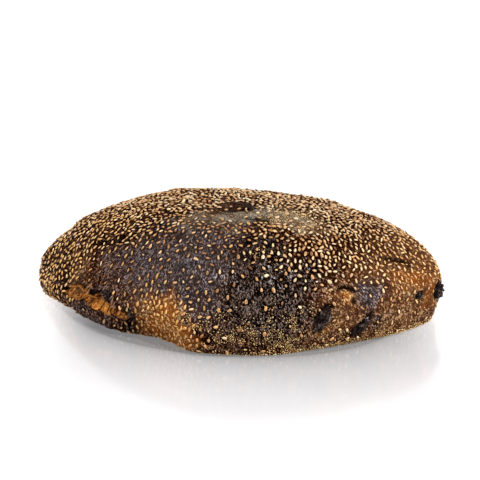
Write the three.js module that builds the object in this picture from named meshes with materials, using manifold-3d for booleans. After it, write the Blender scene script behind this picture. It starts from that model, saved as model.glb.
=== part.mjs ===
// A sesame-crusted tomato bread loaf, uncut: a low dome baked on its flat base, with a burst seam low on
// the left of its front, a crack beside the crown and burnt ends of dried tomato standing out of the crust.
// Millimetres, +Z up: X runs along the loaf, its front faces -Y, and z = 0 is the base that it rests on.

import * as THREE from "three";
import { mergeVertices } from "three/addons/utils/BufferGeometryUtils.js";
import Module from "manifold-3d";

const wasm = await Module();
wasm.setup();

// The outline seen from above
const HALF_LENGTH = 130;
const FRONT_DEPTH = 91;
const BACK_DEPTH = 86;
const FRONT_CORNER = 1.45; // exponent of the front half: 2 is an ellipse, 1 a straight-sided corner
const BACK_CORNER = 2;

// The outline seen from the side
const HEIGHT = 66;
const GIRTH_RIGHT = 25; // height of the widest line, where it passes the right end
const GIRTH_LEFT = 9;
const GIRTH_FRONT = 10;
const GIRTH_BACK = 17;
const DOME_FULLNESS = 0.7; // exponent that pulls the dome in towards the crown
const DOME_RISE = 1.36; // exponent that lifts the dome from the widest line to the crown
const ROLL_END = 35; // the rise starts even and takes up its exponent over this many degrees of turn
const CROWN_SHIFT = 5; // the crown lies this far to the right of the middle
const FOOT_INSET = 9; // the base's edge lies this far inside the widest line, in front and behind
const FOOT_INSET_RIGHT = 4.8;
const FOOT_INSET_LEFT = 1;
const FOOT_TUCK = 10; // how much further in it lies under the burst seam
const FOOT_TUCK_ANGLE = 210;
const FOOT_FLARE = 6.5; // how much further out it lies under the right of the front
const FOOT_FLARE_ANGLE = 302;
const FOOT_SPREAD = 16; // degrees round the loaf that the tuck and the flare reach

// The pinch in the front, between the burst seam and the foot beside it
const PINCH_DEPTH = 12;
const PINCH_ANGLE = 253;
const PINCH_SPREAD = 20; // degrees round the loaf
const PINCH_TOP = 0.55; // share of the dome's rise at which the pinch has died away

// Broad waves in the crust: their height, and their spans along, across and on the slant
const SWELL = 0.9;
const SWELL_ALONG = 17;
const SWELL_ACROSS = 15;
const SWELL_SLANT = 26;
const SWELL_UPWARDS = 14;
const SWELL_START = [1.3, -0.6]; // where the lengthwise waves start, in radians

// Openings in the crust: waypoints as degrees round the loaf and degrees of turn from the widest line up
const BURST_SEAM = {
  path: [[204, 5], [213, 9.5], [228, 9], [240, 3]],
  halfWidth: 5,
  depth: 5,
  undercut: 2,
};
const CROWN_CRACK = {
  path: [[252, 82], [288, 83.5], [321, 80]],
  halfWidth: 1.3,
  depth: 2.2,
  undercut: 0.8,
};
const SIDE_FOLD = {
  path: [[325.5, 20], [328.5, 19.5], [331.5, 14]],
  halfWidth: 2.2,
  depth: 2.6,
  undercut: 1.2,
};
const OPENINGS = [BURST_SEAM, CROWN_CRACK, SIDE_FOLD];
const GASH_BLUNTNESS = 0.6; // exponent of a gash's taper: lower is blunter at its ends

// Burnt ends of dried tomato: size is across, up the slope and through, twist is in degrees on the crust
// and proud is how far each stands out of it.
const TOMATO_PIECES = [
  { name: "tomato_front", angle: 319.2, turn: 2.5, size: [8, 17, 6], twist: -40, proud: 1.6 },
  { name: "tomato_foot", angle: 332.8, turn: -30, size: [13, 8, 6], twist: 30, proud: 1.3 },
  { name: "tomato_side", angle: 351.5, turn: -2, size: [7, 6.5, 5], twist: 10, proud: 0.7 },
  { name: "tomato_end", angle: 357.8, turn: -6, size: [7, 10.5, 11], twist: 8, proud: 4.6 },
  { name: "tomato_seam", angle: 229.5, turn: 16.5, size: [9, 6, 5], twist: -35, proud: 1 },
  { name: "tomato_back", angle: 76, turn: 15, size: [12, 8, 6], twist: 30, proud: 1.5 },
  { name: "tomato_back_left", angle: 128, turn: 4, size: [8, 13, 6], twist: 20, proud: 1.6 },
  { name: "tomato_back_right", angle: 38, turn: -8, size: [9, 7, 6], twist: -15, proud: 1.4 },
];
const TOMATO_WRINKLE = 0.14; // share of a piece's size
const TOMATO_FOLDS = 3; // folds round a piece
const TOMATO_TWIST = 2; // how far the folds wind from one end to the middle, in radians
const POCKET_GAP = 0.4;

// Sesame seeds: their true size, and how many places they are tried at
const SEED_LENGTH = 3.5;
const SEED_WIDTH = 2.2;
const SEED_THICKNESS = 1.2;
const SEED_SINK = 0.1; // the seed's middle lies this far into the crust
const SEED_TAPER = 0.28; // how much narrower one end is than the middle
const SEED_PLACES = 178;
const SEED_CLEARANCE = 3; // from a tomato piece or an opening
const SEED_JITTER = 0.012; // share of the dome's plan
const RANDOM_SEED = 41;
const BURNT_FRONT = { from: 226, to: 328, top: 66, share: 0.4 }; // seeds are sparse there
const SEEDED_FOOT = { angle: 258, turn: 4, spreadAngle: 9, spreadTurn: 8, count: 14 };

// How finely the solids are faceted
const COLUMNS = 64;
const DOME_ROWS = 16;
const FOOT_ROWS = 3;
const GASH_STEPS = 14;
const GASH_SIDES = 8;
const TOMATO_FACETS = [10, 7];
const SEED_FACETS = [5, 3];

const CRUST = { color: "#4b3122", roughness: 0.85, metalness: 0 };
const BURNT_TOMATO = { color: "#1d1412", roughness: 0.5, metalness: 0 };

const FULL_TURN = 360;
const GOLDEN_ANGLE = 180 * (3 - Math.sqrt(5));
const { clamp, degToRad, euclideanModulo, radToDeg, seededRandom, smoothstep } = THREE.MathUtils;

// The two sides of an axis, as squared weights
function sides(value) {
  return [Math.max(value, 0) ** 2, Math.max(-value, 0) ** 2];
}

// Distance from the middle to the widest line: a superellipse with its own front and back halves
function reach(angle) {
  const along = Math.abs(Math.cos(angle)) / HALF_LENGTH;
  const front = Math.sin(angle) < 0;
  const across = Math.abs(Math.sin(angle)) / (front ? FRONT_DEPTH : BACK_DEPTH);
  const corner = front ? FRONT_CORNER : BACK_CORNER;
  return (along ** corner + across ** corner) ** (-1 / corner);
}

function girthHeight(angle) {
  const [right, left] = sides(Math.cos(angle));
  const [back, front] = sides(Math.sin(angle));
  return GIRTH_RIGHT * right + GIRTH_LEFT * left + GIRTH_BACK * back + GIRTH_FRONT * front;
}

// 1 at a middle angle, falling away like a bell over a spread on both sides of it
function bell(angleDegrees, middle, spread) {
  const away = (euclideanModulo(angleDegrees, FULL_TURN) - middle) / spread;
  return Math.exp(-away * away);
}

function footInset(angle) {
  const [right, left] = sides(Math.cos(angle));
  const even = FOOT_INSET_RIGHT * right + FOOT_INSET_LEFT * left + FOOT_INSET * Math.sin(angle) ** 2;
  const tuck = FOOT_TUCK * bell(radToDeg(angle), FOOT_TUCK_ANGLE, FOOT_SPREAD);
  const flare = FOOT_FLARE * bell(radToDeg(angle), FOOT_FLARE_ANGLE, FOOT_SPREAD);
  return even + tuck - flare;
}

// Broad waves that swell the crust outwards from the middle of the base
function swollen(point) {
  const along = Math.sin(point.x / SWELL_ALONG + SWELL_START[0]);
  const across = Math.cos(point.y / SWELL_ACROSS + SWELL_START[1]);
  const slanting = Math.sin((point.x - point.y) / SWELL_SLANT + point.z / SWELL_UPWARDS);
  return point.multiplyScalar(1 + (SWELL * (along * across + slanting)) / point.length());
}

// A point of the crust: turn runs from -90 at the base's edge through 0 at the widest line to 90 at the crown
function crustPoint(angleDegrees, turnDegrees) {
  const angle = degToRad(angleDegrees);
  const turn = degToRad(clamp(turnDegrees, -90, 90));
  const girth = girthHeight(angle);
  const pinch = PINCH_DEPTH * bell(angleDegrees, PINCH_ANGLE, PINCH_SPREAD);
  let radius = reach(angle) - pinch - footInset(angle) * (1 - Math.cos(turn));
  let height = girth * (1 + Math.sin(turn));
  let shift = 0;
  if (turn > 0) {
    const rise = Math.sin(turn) ** (1 + (DOME_RISE - 1) * smoothstep(turnDegrees, 0, ROLL_END));
    const pinchLeft = clamp(1 - rise / PINCH_TOP, 0, 1) ** 2;
    radius = (reach(angle) - pinch * pinchLeft) * Math.max(Math.cos(turn), 0) ** DOME_FULLNESS;
    height = girth + (HEIGHT - girth) * rise;
    shift = CROWN_SHIFT * rise;
  }
  const point = new THREE.Vector3(radius * Math.cos(angle) + shift, radius * Math.sin(angle), height);
  return swollen(point);
}

// The crust's own directions at a point: round the loaf, up the slope and straight out
function crustFrame(angle, turn) {
  const step = 0.5;
  const around = crustPoint(angle + step, turn).sub(crustPoint(angle - step, turn));
  const upslope = crustPoint(angle, turn + step).sub(crustPoint(angle, turn - step));
  const outward = around.clone().cross(upslope).normalize();
  around.normalize();
  upslope.copy(outward).cross(around);
  return { point: crustPoint(angle, turn), around, upslope, outward };
}

// A closed skin over rings of points that all run the same way round, with a single point at each end
function closedSkin(firstPoint, rings, lastPoint) {
  const points = [firstPoint, ...rings.flat(), lastPoint];
  const count = rings[0].length;
  const last = points.length - 1;
  const triangles = [];
  for (let column = 0; column < count; column += 1) {
    const next = (column + 1) % count;
    triangles.push(0, 1 + next, 1 + column);
    for (let row = 0; row + 1 < rings.length; row += 1) {
      const low = 1 + row * count;
      const high = low + count;
      triangles.push(low + column, low + next, high + next, low + column, high + next, high + column);
    }
    triangles.push(last - count + column, last - count + next, last);
  }
  const geometry = new THREE.BufferGeometry().setFromPoints(points);
  geometry.setIndex(triangles);
  return geometry;
}

// Columns stand evenly along the outline, so they are closer in angle at the two ends
function columnAngle(column) {
  const share = (2 * Math.PI * column) / COLUMNS;
  return radToDeg(Math.atan2(FRONT_DEPTH * Math.sin(share), HALF_LENGTH * Math.cos(share)));
}

// The bare loaf, from the flat base over the widest line to the crown
function loafSkin() {
  const turns = [];
  for (let row = 0; row < FOOT_ROWS; row += 1) turns.push(-90 + (90 * row) / FOOT_ROWS);
  for (let row = 0; row < DOME_ROWS; row += 1) turns.push((90 * row) / DOME_ROWS);
  const columns = Array.from({ length: COLUMNS }, (_, column) => columnAngle(column));
  const ring = (turn) => columns.map((angle) => crustPoint(angle, turn));
  return closedSkin(new THREE.Vector3(0, 0, 0), turns.map(ring), crustPoint(0, 90));
}

// A smooth line through waypoints of angle and turn
function gashRoute(path) {
  return new THREE.SplineCurve(path.map(([angle, turn]) => new THREE.Vector2(angle, turn)));
}

// The spindle that opens a gash along a path on the crust, reaching up under its upper lip
function gashSpindle({ path, halfWidth, depth, undercut }) {
  const route = gashRoute(path);
  const ring = (share) => {
    const { x: angle, y: turn } = route.getPoint(share);
    const { point, upslope, outward } = crustFrame(angle, turn);
    const taper = Math.sin(Math.PI * share) ** GASH_BLUNTNESS;
    return Array.from({ length: GASH_SIDES }, (_, side) => {
      const round = (2 * Math.PI * side) / GASH_SIDES;
      const up = halfWidth * Math.cos(round) + undercut * Math.max(-Math.sin(round), 0);
      const out = depth * Math.sin(round);
      return point.clone().addScaledVector(upslope, up * taper).addScaledVector(outward, out * taper);
    });
  };
  const shares = Array.from({ length: GASH_STEPS - 1 }, (_, index) => (index + 1) / GASH_STEPS);
  const end = (share) => crustPoint(...route.getPoint(share).toArray());
  return closedSkin(end(0), shares.map(ring), end(1));
}

// Lays a shape on the crust: its x across, its y up the slope and its z out, turned by twist and lifted
function laidOnCrust(geometry, { angle, turn, twist, lift }) {
  const { point, around, upslope, outward } = crustFrame(angle, turn);
  const place = new THREE.Matrix4().makeBasis(around, upslope, outward);
  place.setPosition(point.addScaledVector(outward, lift));
  place.multiply(new THREE.Matrix4().makeRotationZ(degToRad(twist)));
  return geometry.applyMatrix4(place);
}

// A sphere's points, each moved by a function
function movedSphere(facets, move) {
  const geometry = new THREE.SphereGeometry(1, ...facets);
  const corners = geometry.attributes.position;
  const corner = new THREE.Vector3();
  for (let index = 0; index < corners.count; index += 1) {
    move(corner.fromBufferAttribute(corners, index));
    corners.setXYZ(index, corner.x, corner.y, corner.z);
  }
  return geometry;
}

// A shrivelled lump of tomato, with folds that wind along its length
function tomatoLump(piece, grow) {
  const half = piece.size.map((size) => size / 2 + grow);
  const geometry = movedSphere(TOMATO_FACETS, (corner) => {
    const round = TOMATO_FOLDS * Math.atan2(corner.z, corner.x);
    const fold = Math.sin(round + TOMATO_TWIST * corner.y + piece.angle);
    const level = 1 - corner.y * corner.y;
    corner.multiplyScalar(1 + TOMATO_WRINKLE * fold * level);
    corner.set(corner.x * half[0], corner.y * half[1], corner.z * half[2]);
  });
  return laidOnCrust(geometry, { ...piece, lift: piece.proud - piece.size[2] / 2 });
}

// A sesame seed: a flat drop, narrower at one end
function sesameSeed(place) {
  const geometry = movedSphere(SEED_FACETS, (corner) => {
    const width = (SEED_WIDTH / 2) * (1 - SEED_TAPER * corner.y);
    corner.set(corner.x * width, (corner.y * SEED_LENGTH) / 2, (corner.z * SEED_THICKNESS) / 2);
  });
  return laidOnCrust(geometry, { ...place, lift: -SEED_SINK });
}

// Evenly spread points in a unit disc, as a sunflower sets its seeds
function sunflower(count) {
  return Array.from({ length: count }, (_, index) => ({
    radius: Math.sqrt((index + 0.5) / count),
    angle: euclideanModulo(index * GOLDEN_ANGLE, FULL_TURN),
  }));
}

// Points that seeds keep clear of, each with its own distance
function keepClear() {
  const pieces = TOMATO_PIECES.map(({ angle, turn, size }) => ({
    point: crustPoint(angle, turn),
    distance: Math.max(size[0], size[1]) / 2 + SEED_CLEARANCE,
  }));
  const gashes = OPENINGS.flatMap(({ path, halfWidth, undercut }) =>
    gashRoute(path).getPoints(GASH_STEPS).map((waypoint) => ({
      point: crustPoint(waypoint.x, waypoint.y),
      distance: halfWidth + undercut + SEED_CLEARANCE,
    })),
  );
  return [...pieces, ...gashes];
}

// Where the seeds lie: even over the dome, fewer on the burnt front, and a patch on the front foot
function seedPlaces() {
  seededRandom(RANDOM_SEED);
  const places = [];
  for (const spot of sunflower(SEED_PLACES)) {
    const radius = clamp(spot.radius + SEED_JITTER * (seededRandom() - 0.5), 0, 1);
    const turn = radToDeg(Math.acos(radius ** (1 / DOME_FULLNESS)));
    const inFront = spot.angle > BURNT_FRONT.from && spot.angle < BURNT_FRONT.to && turn < BURNT_FRONT.top;
    const kept = seededRandom() < (inFront ? BURNT_FRONT.share : 1);
    const twist = 180 * seededRandom();
    if (kept) places.push({ angle: spot.angle, turn, twist });
  }
  for (const spot of sunflower(SEEDED_FOOT.count)) {
    const angle = SEEDED_FOOT.angle + SEEDED_FOOT.spreadAngle * spot.radius * Math.cos(degToRad(spot.angle));
    const turn = SEEDED_FOOT.turn + SEEDED_FOOT.spreadTurn * spot.radius * Math.sin(degToRad(spot.angle));
    places.push({ angle, turn, twist: 180 * seededRandom() });
  }
  const guards = keepClear();
  const isClear = (point) => guards.every((guard) => guard.point.distanceTo(point) > guard.distance);
  return places.filter(({ angle, turn }) => isClear(crustPoint(angle, turn)));
}

// A closed geometry as a solid that can be joined and cut, and back again
function solidOf(geometry) {
  geometry.deleteAttribute("normal");
  geometry.deleteAttribute("uv");
  const merged = mergeVertices(geometry);
  const vertProperties = new Float32Array(merged.attributes.position.array);
  const triVerts = new Uint32Array(merged.index.array);
  return new wasm.Manifold(new wasm.Mesh({ numProp: 3, vertProperties, triVerts }));
}

function geometryOf(solid) {
  const { vertProperties, triVerts } = solid.getMesh();
  const geometry = new THREE.BufferGeometry();
  geometry.setAttribute("position", new THREE.BufferAttribute(vertProperties, 3));
  geometry.setIndex(new THREE.BufferAttribute(triVerts, 1));
  return geometry;
}

function namedMesh(name, geometry, finish) {
  const mesh = new THREE.Mesh(geometry, new THREE.MeshStandardMaterial(finish));
  mesh.name = name;
  geometry.computeVertexNormals();
  return mesh;
}

// The loaf: the bare dome, less its openings and the tomato pockets, with the seeds fused on
function loafSolid() {
  let loaf = solidOf(loafSkin());
  for (const opening of OPENINGS) {
    loaf = loaf.subtract(solidOf(gashSpindle(opening)));
  }
  for (const piece of TOMATO_PIECES) {
    loaf = loaf.subtract(solidOf(tomatoLump(piece, POCKET_GAP)));
  }
  for (const place of seedPlaces()) {
    loaf = loaf.add(solidOf(sesameSeed(place)));
  }
  return loaf;
}

const tomatoBread = new THREE.Group();
tomatoBread.add(namedMesh("loaf", geometryOf(loafSolid()), CRUST));
for (const piece of TOMATO_PIECES) {
  tomatoBread.add(namedMesh(piece.name, geometryOf(solidOf(tomatoLump(piece, 0))), BURNT_TOMATO));
}

export default tomatoBread;
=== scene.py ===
# %% [markdown]
# # A sesame-crusted tomato loaf
#
# The loaf is one domed body of bread, baked dark on its front and strewn with sesame. The solids come from
# a CAD frame and stay where they are: the pieces made here are its looks, in metres, in that same frame.
# Every surface below is a formula over a grid of two parameters, so each shape can be read and changed.

import math

import bpy
import numpy as np
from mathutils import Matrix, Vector
from mathutils.kdtree import KDTree


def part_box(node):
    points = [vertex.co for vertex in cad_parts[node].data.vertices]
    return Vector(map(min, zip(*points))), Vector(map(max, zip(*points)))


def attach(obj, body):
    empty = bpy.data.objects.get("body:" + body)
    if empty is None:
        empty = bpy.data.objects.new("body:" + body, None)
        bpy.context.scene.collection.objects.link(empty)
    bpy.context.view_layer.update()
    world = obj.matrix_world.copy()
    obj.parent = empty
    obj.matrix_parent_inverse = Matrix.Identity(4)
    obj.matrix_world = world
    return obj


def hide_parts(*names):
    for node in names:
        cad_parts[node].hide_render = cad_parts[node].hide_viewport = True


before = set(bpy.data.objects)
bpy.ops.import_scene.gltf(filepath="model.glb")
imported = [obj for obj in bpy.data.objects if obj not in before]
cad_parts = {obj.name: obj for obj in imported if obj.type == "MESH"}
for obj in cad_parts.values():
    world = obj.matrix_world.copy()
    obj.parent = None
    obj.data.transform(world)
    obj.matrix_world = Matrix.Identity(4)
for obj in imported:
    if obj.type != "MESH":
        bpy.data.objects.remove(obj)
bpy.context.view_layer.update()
MM = 0.001
scene = bpy.context.scene

# %% [markdown]
# ## The camera
#
# A photographer's camera stands a little to the right of the loaf's front and looks down on it, through a
# long lens from close by. A camera could be aimed with a constraint, but a few angles and one distance say
# the same thing and are easier to compare with a photograph.

# %% Place the camera
CAMERA_AZIMUTH = math.radians(15.3)
CAMERA_ELEVATION = math.radians(19.0)
CAMERA_DISTANCE = 0.70
CAMERA_LENS = 83.6  # mm, on a sensor 36 mm wide
AIM_RIGHT = 0.0064  # the aim lies this far right of the base's middle, as the camera sees it
AIM_HEIGHT = 0.0408

towards_camera = Vector((
    math.sin(CAMERA_AZIMUTH) * math.cos(CAMERA_ELEVATION),
    -math.cos(CAMERA_AZIMUTH) * math.cos(CAMERA_ELEVATION),
    math.sin(CAMERA_ELEVATION),
))
aim = Vector((math.cos(CAMERA_AZIMUTH) * AIM_RIGHT, math.sin(CAMERA_AZIMUTH) * AIM_RIGHT, AIM_HEIGHT))
camera = bpy.data.objects.new("camera", bpy.data.cameras.new("camera"))
camera.data.lens = CAMERA_LENS
camera.location = aim + towards_camera * CAMERA_DISTANCE
camera.rotation_mode = "QUATERNION"
camera.rotation_quaternion = (-towards_camera).to_track_quat("-Z", "Y")
scene.collection.objects.link(camera)
scene.camera = camera
print("camera at", [round(v, 3) for v in camera.location])

# %% [markdown]
# ## The light
#
# The loaf stands in a pale studio. A room could be built with walls and lamps, but a sky that is bright low
# down and dim overhead does the walls' work, and leaves no edge of one to show in the table. One lamp, far
# away like a sun, picks out each seed from above.

# %% Light the scene
WALL_STRENGTH, ROOF_STRENGTH = 0.75, 0.12
WALL_TOP = (0.35, 0.75)  # sines of the elevations between which the pale walls give way to a dim roof
ROOM_WHITE = (1.0, 0.99, 0.98, 1.0)
LAMP_STRENGTH = 3.6
LAMP_WIDTH = math.radians(8)
LAMP_TILT = (math.radians(12), math.radians(24), 0.0)  # from above, a little from the front and the right

world = bpy.data.worlds.new("studio")
world.use_nodes = True
room = world.node_tree
direction = room.nodes.new("ShaderNodeTexCoord")
upward = room.nodes.new("ShaderNodeSeparateXYZ")
gradient = room.nodes.new("ShaderNodeMapRange")
gradient.interpolation_type = "SMOOTHSTEP"
levels = (*WALL_TOP, WALL_STRENGTH, ROOF_STRENGTH)
for socket, value in zip(("From Min", "From Max", "To Min", "To Max"), levels):
    gradient.inputs[socket].default_value = value
room.links.new(direction.outputs["Generated"], upward.inputs["Vector"])
room.links.new(upward.outputs["Z"], gradient.inputs["Value"])
room.links.new(gradient.outputs["Result"], room.nodes["Background"].inputs["Strength"])
room.nodes["Background"].inputs["Color"].default_value = ROOM_WHITE
scene.world = world
scene.view_settings.view_transform = "Standard"

lamp = bpy.data.objects.new("key_lamp", bpy.data.lights.new("key_lamp", "SUN"))
lamp.data.energy = LAMP_STRENGTH
lamp.data.angle = LAMP_WIDTH
lamp.rotation_euler = LAMP_TILT
scene.collection.objects.link(lamp)
print("walls", WALL_STRENGTH, "roof", ROOF_STRENGTH, "lamp", LAMP_STRENGTH)

# %% [markdown]
# ## From arrays to pieces
#
# A mesh is a list of points and a list of faces. Blender's modelling tools could make both one click at a
# time, but a formula gives them all at once as arrays. These helpers turn such arrays, in millimetres, into
# an object at the origin that rides on the loaf's only body, and store numbers for its material to read.

# %% Helpers for pieces and values
BODY = "root"
LOWEST = (-np.inf, -np.inf, 0.0)  # no point of a piece lies below the table


def new_piece(name, points, faces, material):
    """An object from points in millimetres, none below the table, and faces as lists of their numbers."""
    mesh = bpy.data.meshes.new(name)
    mesh.from_pydata((np.maximum(points, LOWEST) * MM).tolist(), [], faces)
    mesh.polygons.foreach_set("use_smooth", np.ones(len(mesh.polygons), bool))
    mesh.materials.append(material)
    mesh.update()
    piece = bpy.data.objects.new(name, mesh)
    scene.collection.objects.link(piece)
    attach(piece, BODY)
    print(f"{name}: {len(mesh.vertices)} points, {len(mesh.loop_triangles)} triangles")
    return piece


def give_values(piece, name, values):
    """Stores one number for each point of a piece, for its material to read by name."""
    layer = piece.data.attributes.new(name, "FLOAT", "POINT")
    layer.data.foreach_set("value", np.asarray(values, np.float32).ravel())


def give_places(piece, name, places):
    """Stores one place for each point of a piece, for its material to read by name."""
    layer = piece.data.attributes.new(name, "FLOAT_VECTOR", "POINT")
    layer.data.foreach_set("vector", np.asarray(places, np.float32).ravel())


def smooth_step(value, low, high):
    """0 below low, 1 above high and a smooth cubic between them."""
    share = np.clip((value - low) / (high - low), 0, 1)
    return share * share * (3 - 2 * share)


def hump(value, middle, spread):
    """1 at a middle value, falling away over a spread as e to the minus square."""
    return np.exp(-(((value - middle) / spread) ** 2))


def plateau(value, rise, fall):
    """1 between two edges: it rises from 0 over one pair of values and falls again over another."""
    return smooth_step(value, *rise) * smooth_step(-value, -fall[1], -fall[0])


# %% [markdown]
# ## The dough's form
#
# The baker shaped one piece of dough, and it spread into a low dome with a blunt corner in front, a pinch
# beside it and a flat base. Sculpting could copy it, but a formula keeps it true to the solid: a
# superellipse seen from above, a widest line that is higher at the right end, and a dome over it.
# `angle` runs round the loaf in degrees from +X, and `turn` from -90 at the base's edge to 90 at the crown.

# %% The loaf's form
HALF_LENGTH, FRONT_DEPTH, BACK_DEPTH, HEIGHT = 130.0, 91.0, 86.0, 66.0
FRONT_CORNER, BACK_CORNER = 1.45, 2.0
GIRTH_RIGHT, GIRTH_LEFT, GIRTH_FRONT, GIRTH_BACK = 25.0, 9.0, 10.0, 17.0
DOME_FULLNESS, DOME_RISE, ROLL_END, CROWN_SHIFT = 0.7, 1.36, 35.0, 5.0
FOOT_INSET, FOOT_INSET_RIGHT, FOOT_INSET_LEFT = 9.0, 4.8, 1.0
FOOT_TUCK, FOOT_TUCK_ANGLE, FOOT_FLARE, FOOT_FLARE_ANGLE, FOOT_SPREAD = 10.0, 210.0, 6.5, 302.0, 16.0
PINCH_DEPTH, PINCH_ANGLE, PINCH_SPREAD, PINCH_TOP = 12.0, 253.0, 20.0, 0.55
SWELL, SWELL_ALONG, SWELL_ACROSS, SWELL_SLANT, SWELL_UPWARDS = 0.9, 17.0, 15.0, 26.0, 14.0
SWELL_START = (1.3, -0.6)


def both_sides(value):
    """Squared weights of the positive and the negative side of an axis."""
    return np.maximum(value, 0) ** 2, np.maximum(-value, 0) ** 2


def outline_reach(angle):
    """Superellipse: the distance at which scaled |cos| and |sin|, each to the corner's power, add to 1."""
    front = np.sin(angle) < 0
    corner = np.where(front, FRONT_CORNER, BACK_CORNER)
    along = np.abs(np.cos(angle)) / HALF_LENGTH
    across = np.abs(np.sin(angle)) / np.where(front, FRONT_DEPTH, BACK_DEPTH)
    return (along**corner + across**corner) ** (-1 / corner)


def loaf_form(angle_degrees, turn_degrees):
    """Below the widest line a quarter ellipse pulls in to the base. Above it the radius falls with a power
    of cos(turn) and the height rises with a power of sin(turn). Broad sine waves swell it all."""
    angle = np.radians(angle_degrees)
    turn = np.radians(np.clip(turn_degrees, -90, 90))
    right, left = both_sides(np.cos(angle))
    back, front = both_sides(np.sin(angle))
    girth = GIRTH_RIGHT * right + GIRTH_LEFT * left + GIRTH_BACK * back + GIRTH_FRONT * front
    inset = FOOT_INSET_RIGHT * right + FOOT_INSET_LEFT * left + FOOT_INSET * np.sin(angle) ** 2
    inset = inset + FOOT_TUCK * hump(angle_degrees % 360, FOOT_TUCK_ANGLE, FOOT_SPREAD)
    inset = inset - FOOT_FLARE * hump(angle_degrees % 360, FOOT_FLARE_ANGLE, FOOT_SPREAD)
    pinch = PINCH_DEPTH * hump(angle_degrees % 360, PINCH_ANGLE, PINCH_SPREAD)
    rise = np.maximum(np.sin(turn), 0) ** (1 + (DOME_RISE - 1) * smooth_step(turn_degrees, 0, ROLL_END))
    pinch_left = np.clip(1 - rise / PINCH_TOP, 0, 1) ** 2
    reach = outline_reach(angle)
    over = (reach - pinch * pinch_left) * np.maximum(np.cos(turn), 0) ** DOME_FULLNESS
    under = reach - pinch - inset * (1 - np.cos(turn))
    radius = np.where(turn > 0, over, under)
    height = np.where(turn > 0, girth + (HEIGHT - girth) * rise, girth * (1 + np.sin(turn)))
    x = radius * np.cos(angle) + CROWN_SHIFT * rise
    points = np.stack(np.broadcast_arrays(x, radius * np.sin(angle), height), -1)
    waves = np.sin(points[..., 0] / SWELL_ALONG + SWELL_START[0])
    waves = waves * np.cos(points[..., 1] / SWELL_ACROSS + SWELL_START[1])
    waves = waves + np.sin((points[..., 0] - points[..., 1]) / SWELL_SLANT + points[..., 2] / SWELL_UPWARDS)
    distance = np.linalg.norm(points, axis=-1)
    return points * (1 + SWELL * waves / distance)[..., None]


loaf_low, loaf_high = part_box("loaf")
sample = loaf_form(np.linspace(0, 360, 721)[:, None], np.linspace(-90, 90, 181)[None, :]).reshape(-1, 3)
print("form in mm", sample.min(0).round(1), sample.max(0).round(1))
print("solid in mm", [round(v / MM, 1) for v in (*loaf_low, *loaf_high)])

# %% [markdown]
# ## Directions on the crust
#
# Everything on the crust, from a seed to a crack, needs to know which way is out, up the slope and round
# the loaf. Mesh normals would do, but they exist only at points of a mesh. Small steps in the two
# parameters give the same directions anywhere, for thousands of places at once.

# %% Local directions
STEP, LAST_TURN = 0.5, 89.4  # degrees; a step past the last turn would leave the crown


def unit(vectors):
    """Vectors scaled to length 1."""
    return vectors / np.maximum(np.linalg.norm(vectors, axis=-1, keepdims=True), 1e-9)


def surface_frame(surface, angle, turn):
    """Points of a surface, with the unit directions round, up the slope and out, from central differences."""
    turn = np.clip(turn, -LAST_TURN, LAST_TURN)
    around = unit(surface(angle + STEP, turn) - surface(angle - STEP, turn))
    upslope = surface(angle, turn + STEP) - surface(angle, turn - STEP)
    outward = unit(np.cross(around, upslope))
    return surface(angle, turn), around, np.cross(outward, around), outward


print("outward in front:", surface_frame(loaf_form, np.array(270.0), np.array(0.0))[3].round(2))

# %% [markdown]
# ## Unevenness
#
# Bread is uneven at every scale. Blender has noise textures, but only materials can read them. The same
# noise as a formula, random numbers on a cubic lattice blended between its corners, can also lift a crust,
# scatter seeds and blur the edge of a burnt patch.

# %% Noise over points
LATTICE_SIZE, LATTICE_SHIFT = 40, 7.3
LATTICE = np.random.default_rng(11).random((LATTICE_SIZE,) * 3)


def lattice_noise(points, span, shift=0):
    """Smooth numbers from -1 to 1: lattice values one span apart, blended by a cubic along each axis."""
    place = np.asarray(points) / span + LATTICE_SHIFT * shift
    cell = np.floor(place).astype(int)
    share = place - cell
    share = share * share * (3 - 2 * share)
    total = 0
    for corner in np.ndindex(2, 2, 2):
        weight = np.prod(np.where(corner, share, 1 - share), axis=-1)
        index = (cell + corner) % LATTICE_SIZE
        total = total + weight * LATTICE[index[..., 0], index[..., 1], index[..., 2]]
    return 2 * total - 1


def layered_noise(points, span, layers, shift=0):
    """Layers of lattice noise, each at half the span and half the height of the one before. Another shift
    gives another noise."""
    return sum(lattice_noise(points, span / 2**n, shift + n) / 2**n for n in range(layers))


shown_noise = lattice_noise(sample, 20.0)
print("noise over the form: from", shown_noise.min().round(2), "to", shown_noise.max().round(2))

# %% [markdown]
# ## Openings in the crust
#
# In the oven the crust set before the crumb had stopped rising, so it burst low on the left, cracked beside
# the crown and folded on the right. A knife tool could cut them. Here each opening is a route through a few
# waypoints on the crust, and any point knows how far along that route it lies and how far beside it.

# %% Routes on the crust
ROUTE_STEPS = 60
BURST_SEAM = [(204, 5), (213, 9.5), (228, 9), (240, 3)]


def smooth_route(waypoints):
    """A curve through waypoints of angle and turn: cubic pieces whose ends lean along their neighbours."""
    way = np.array(waypoints, float)
    place = np.linspace(0, len(way) - 1, ROUTE_STEPS)
    first = np.minimum(place.astype(int), len(way) - 2)
    t = (place - first)[:, None]
    before, start, end = way[np.maximum(first - 1, 0)], way[first], way[first + 1]
    after = way[np.minimum(first + 2, len(way) - 1)]
    lean_in, lean_out = (end - before) / 2, (after - start) / 2
    cubic = 2 * start - 2 * end + lean_in + lean_out
    square = -3 * start + 3 * end - 2 * lean_in - lean_out
    return cubic * t**3 + square * t**2 + lean_in * t + start


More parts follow.
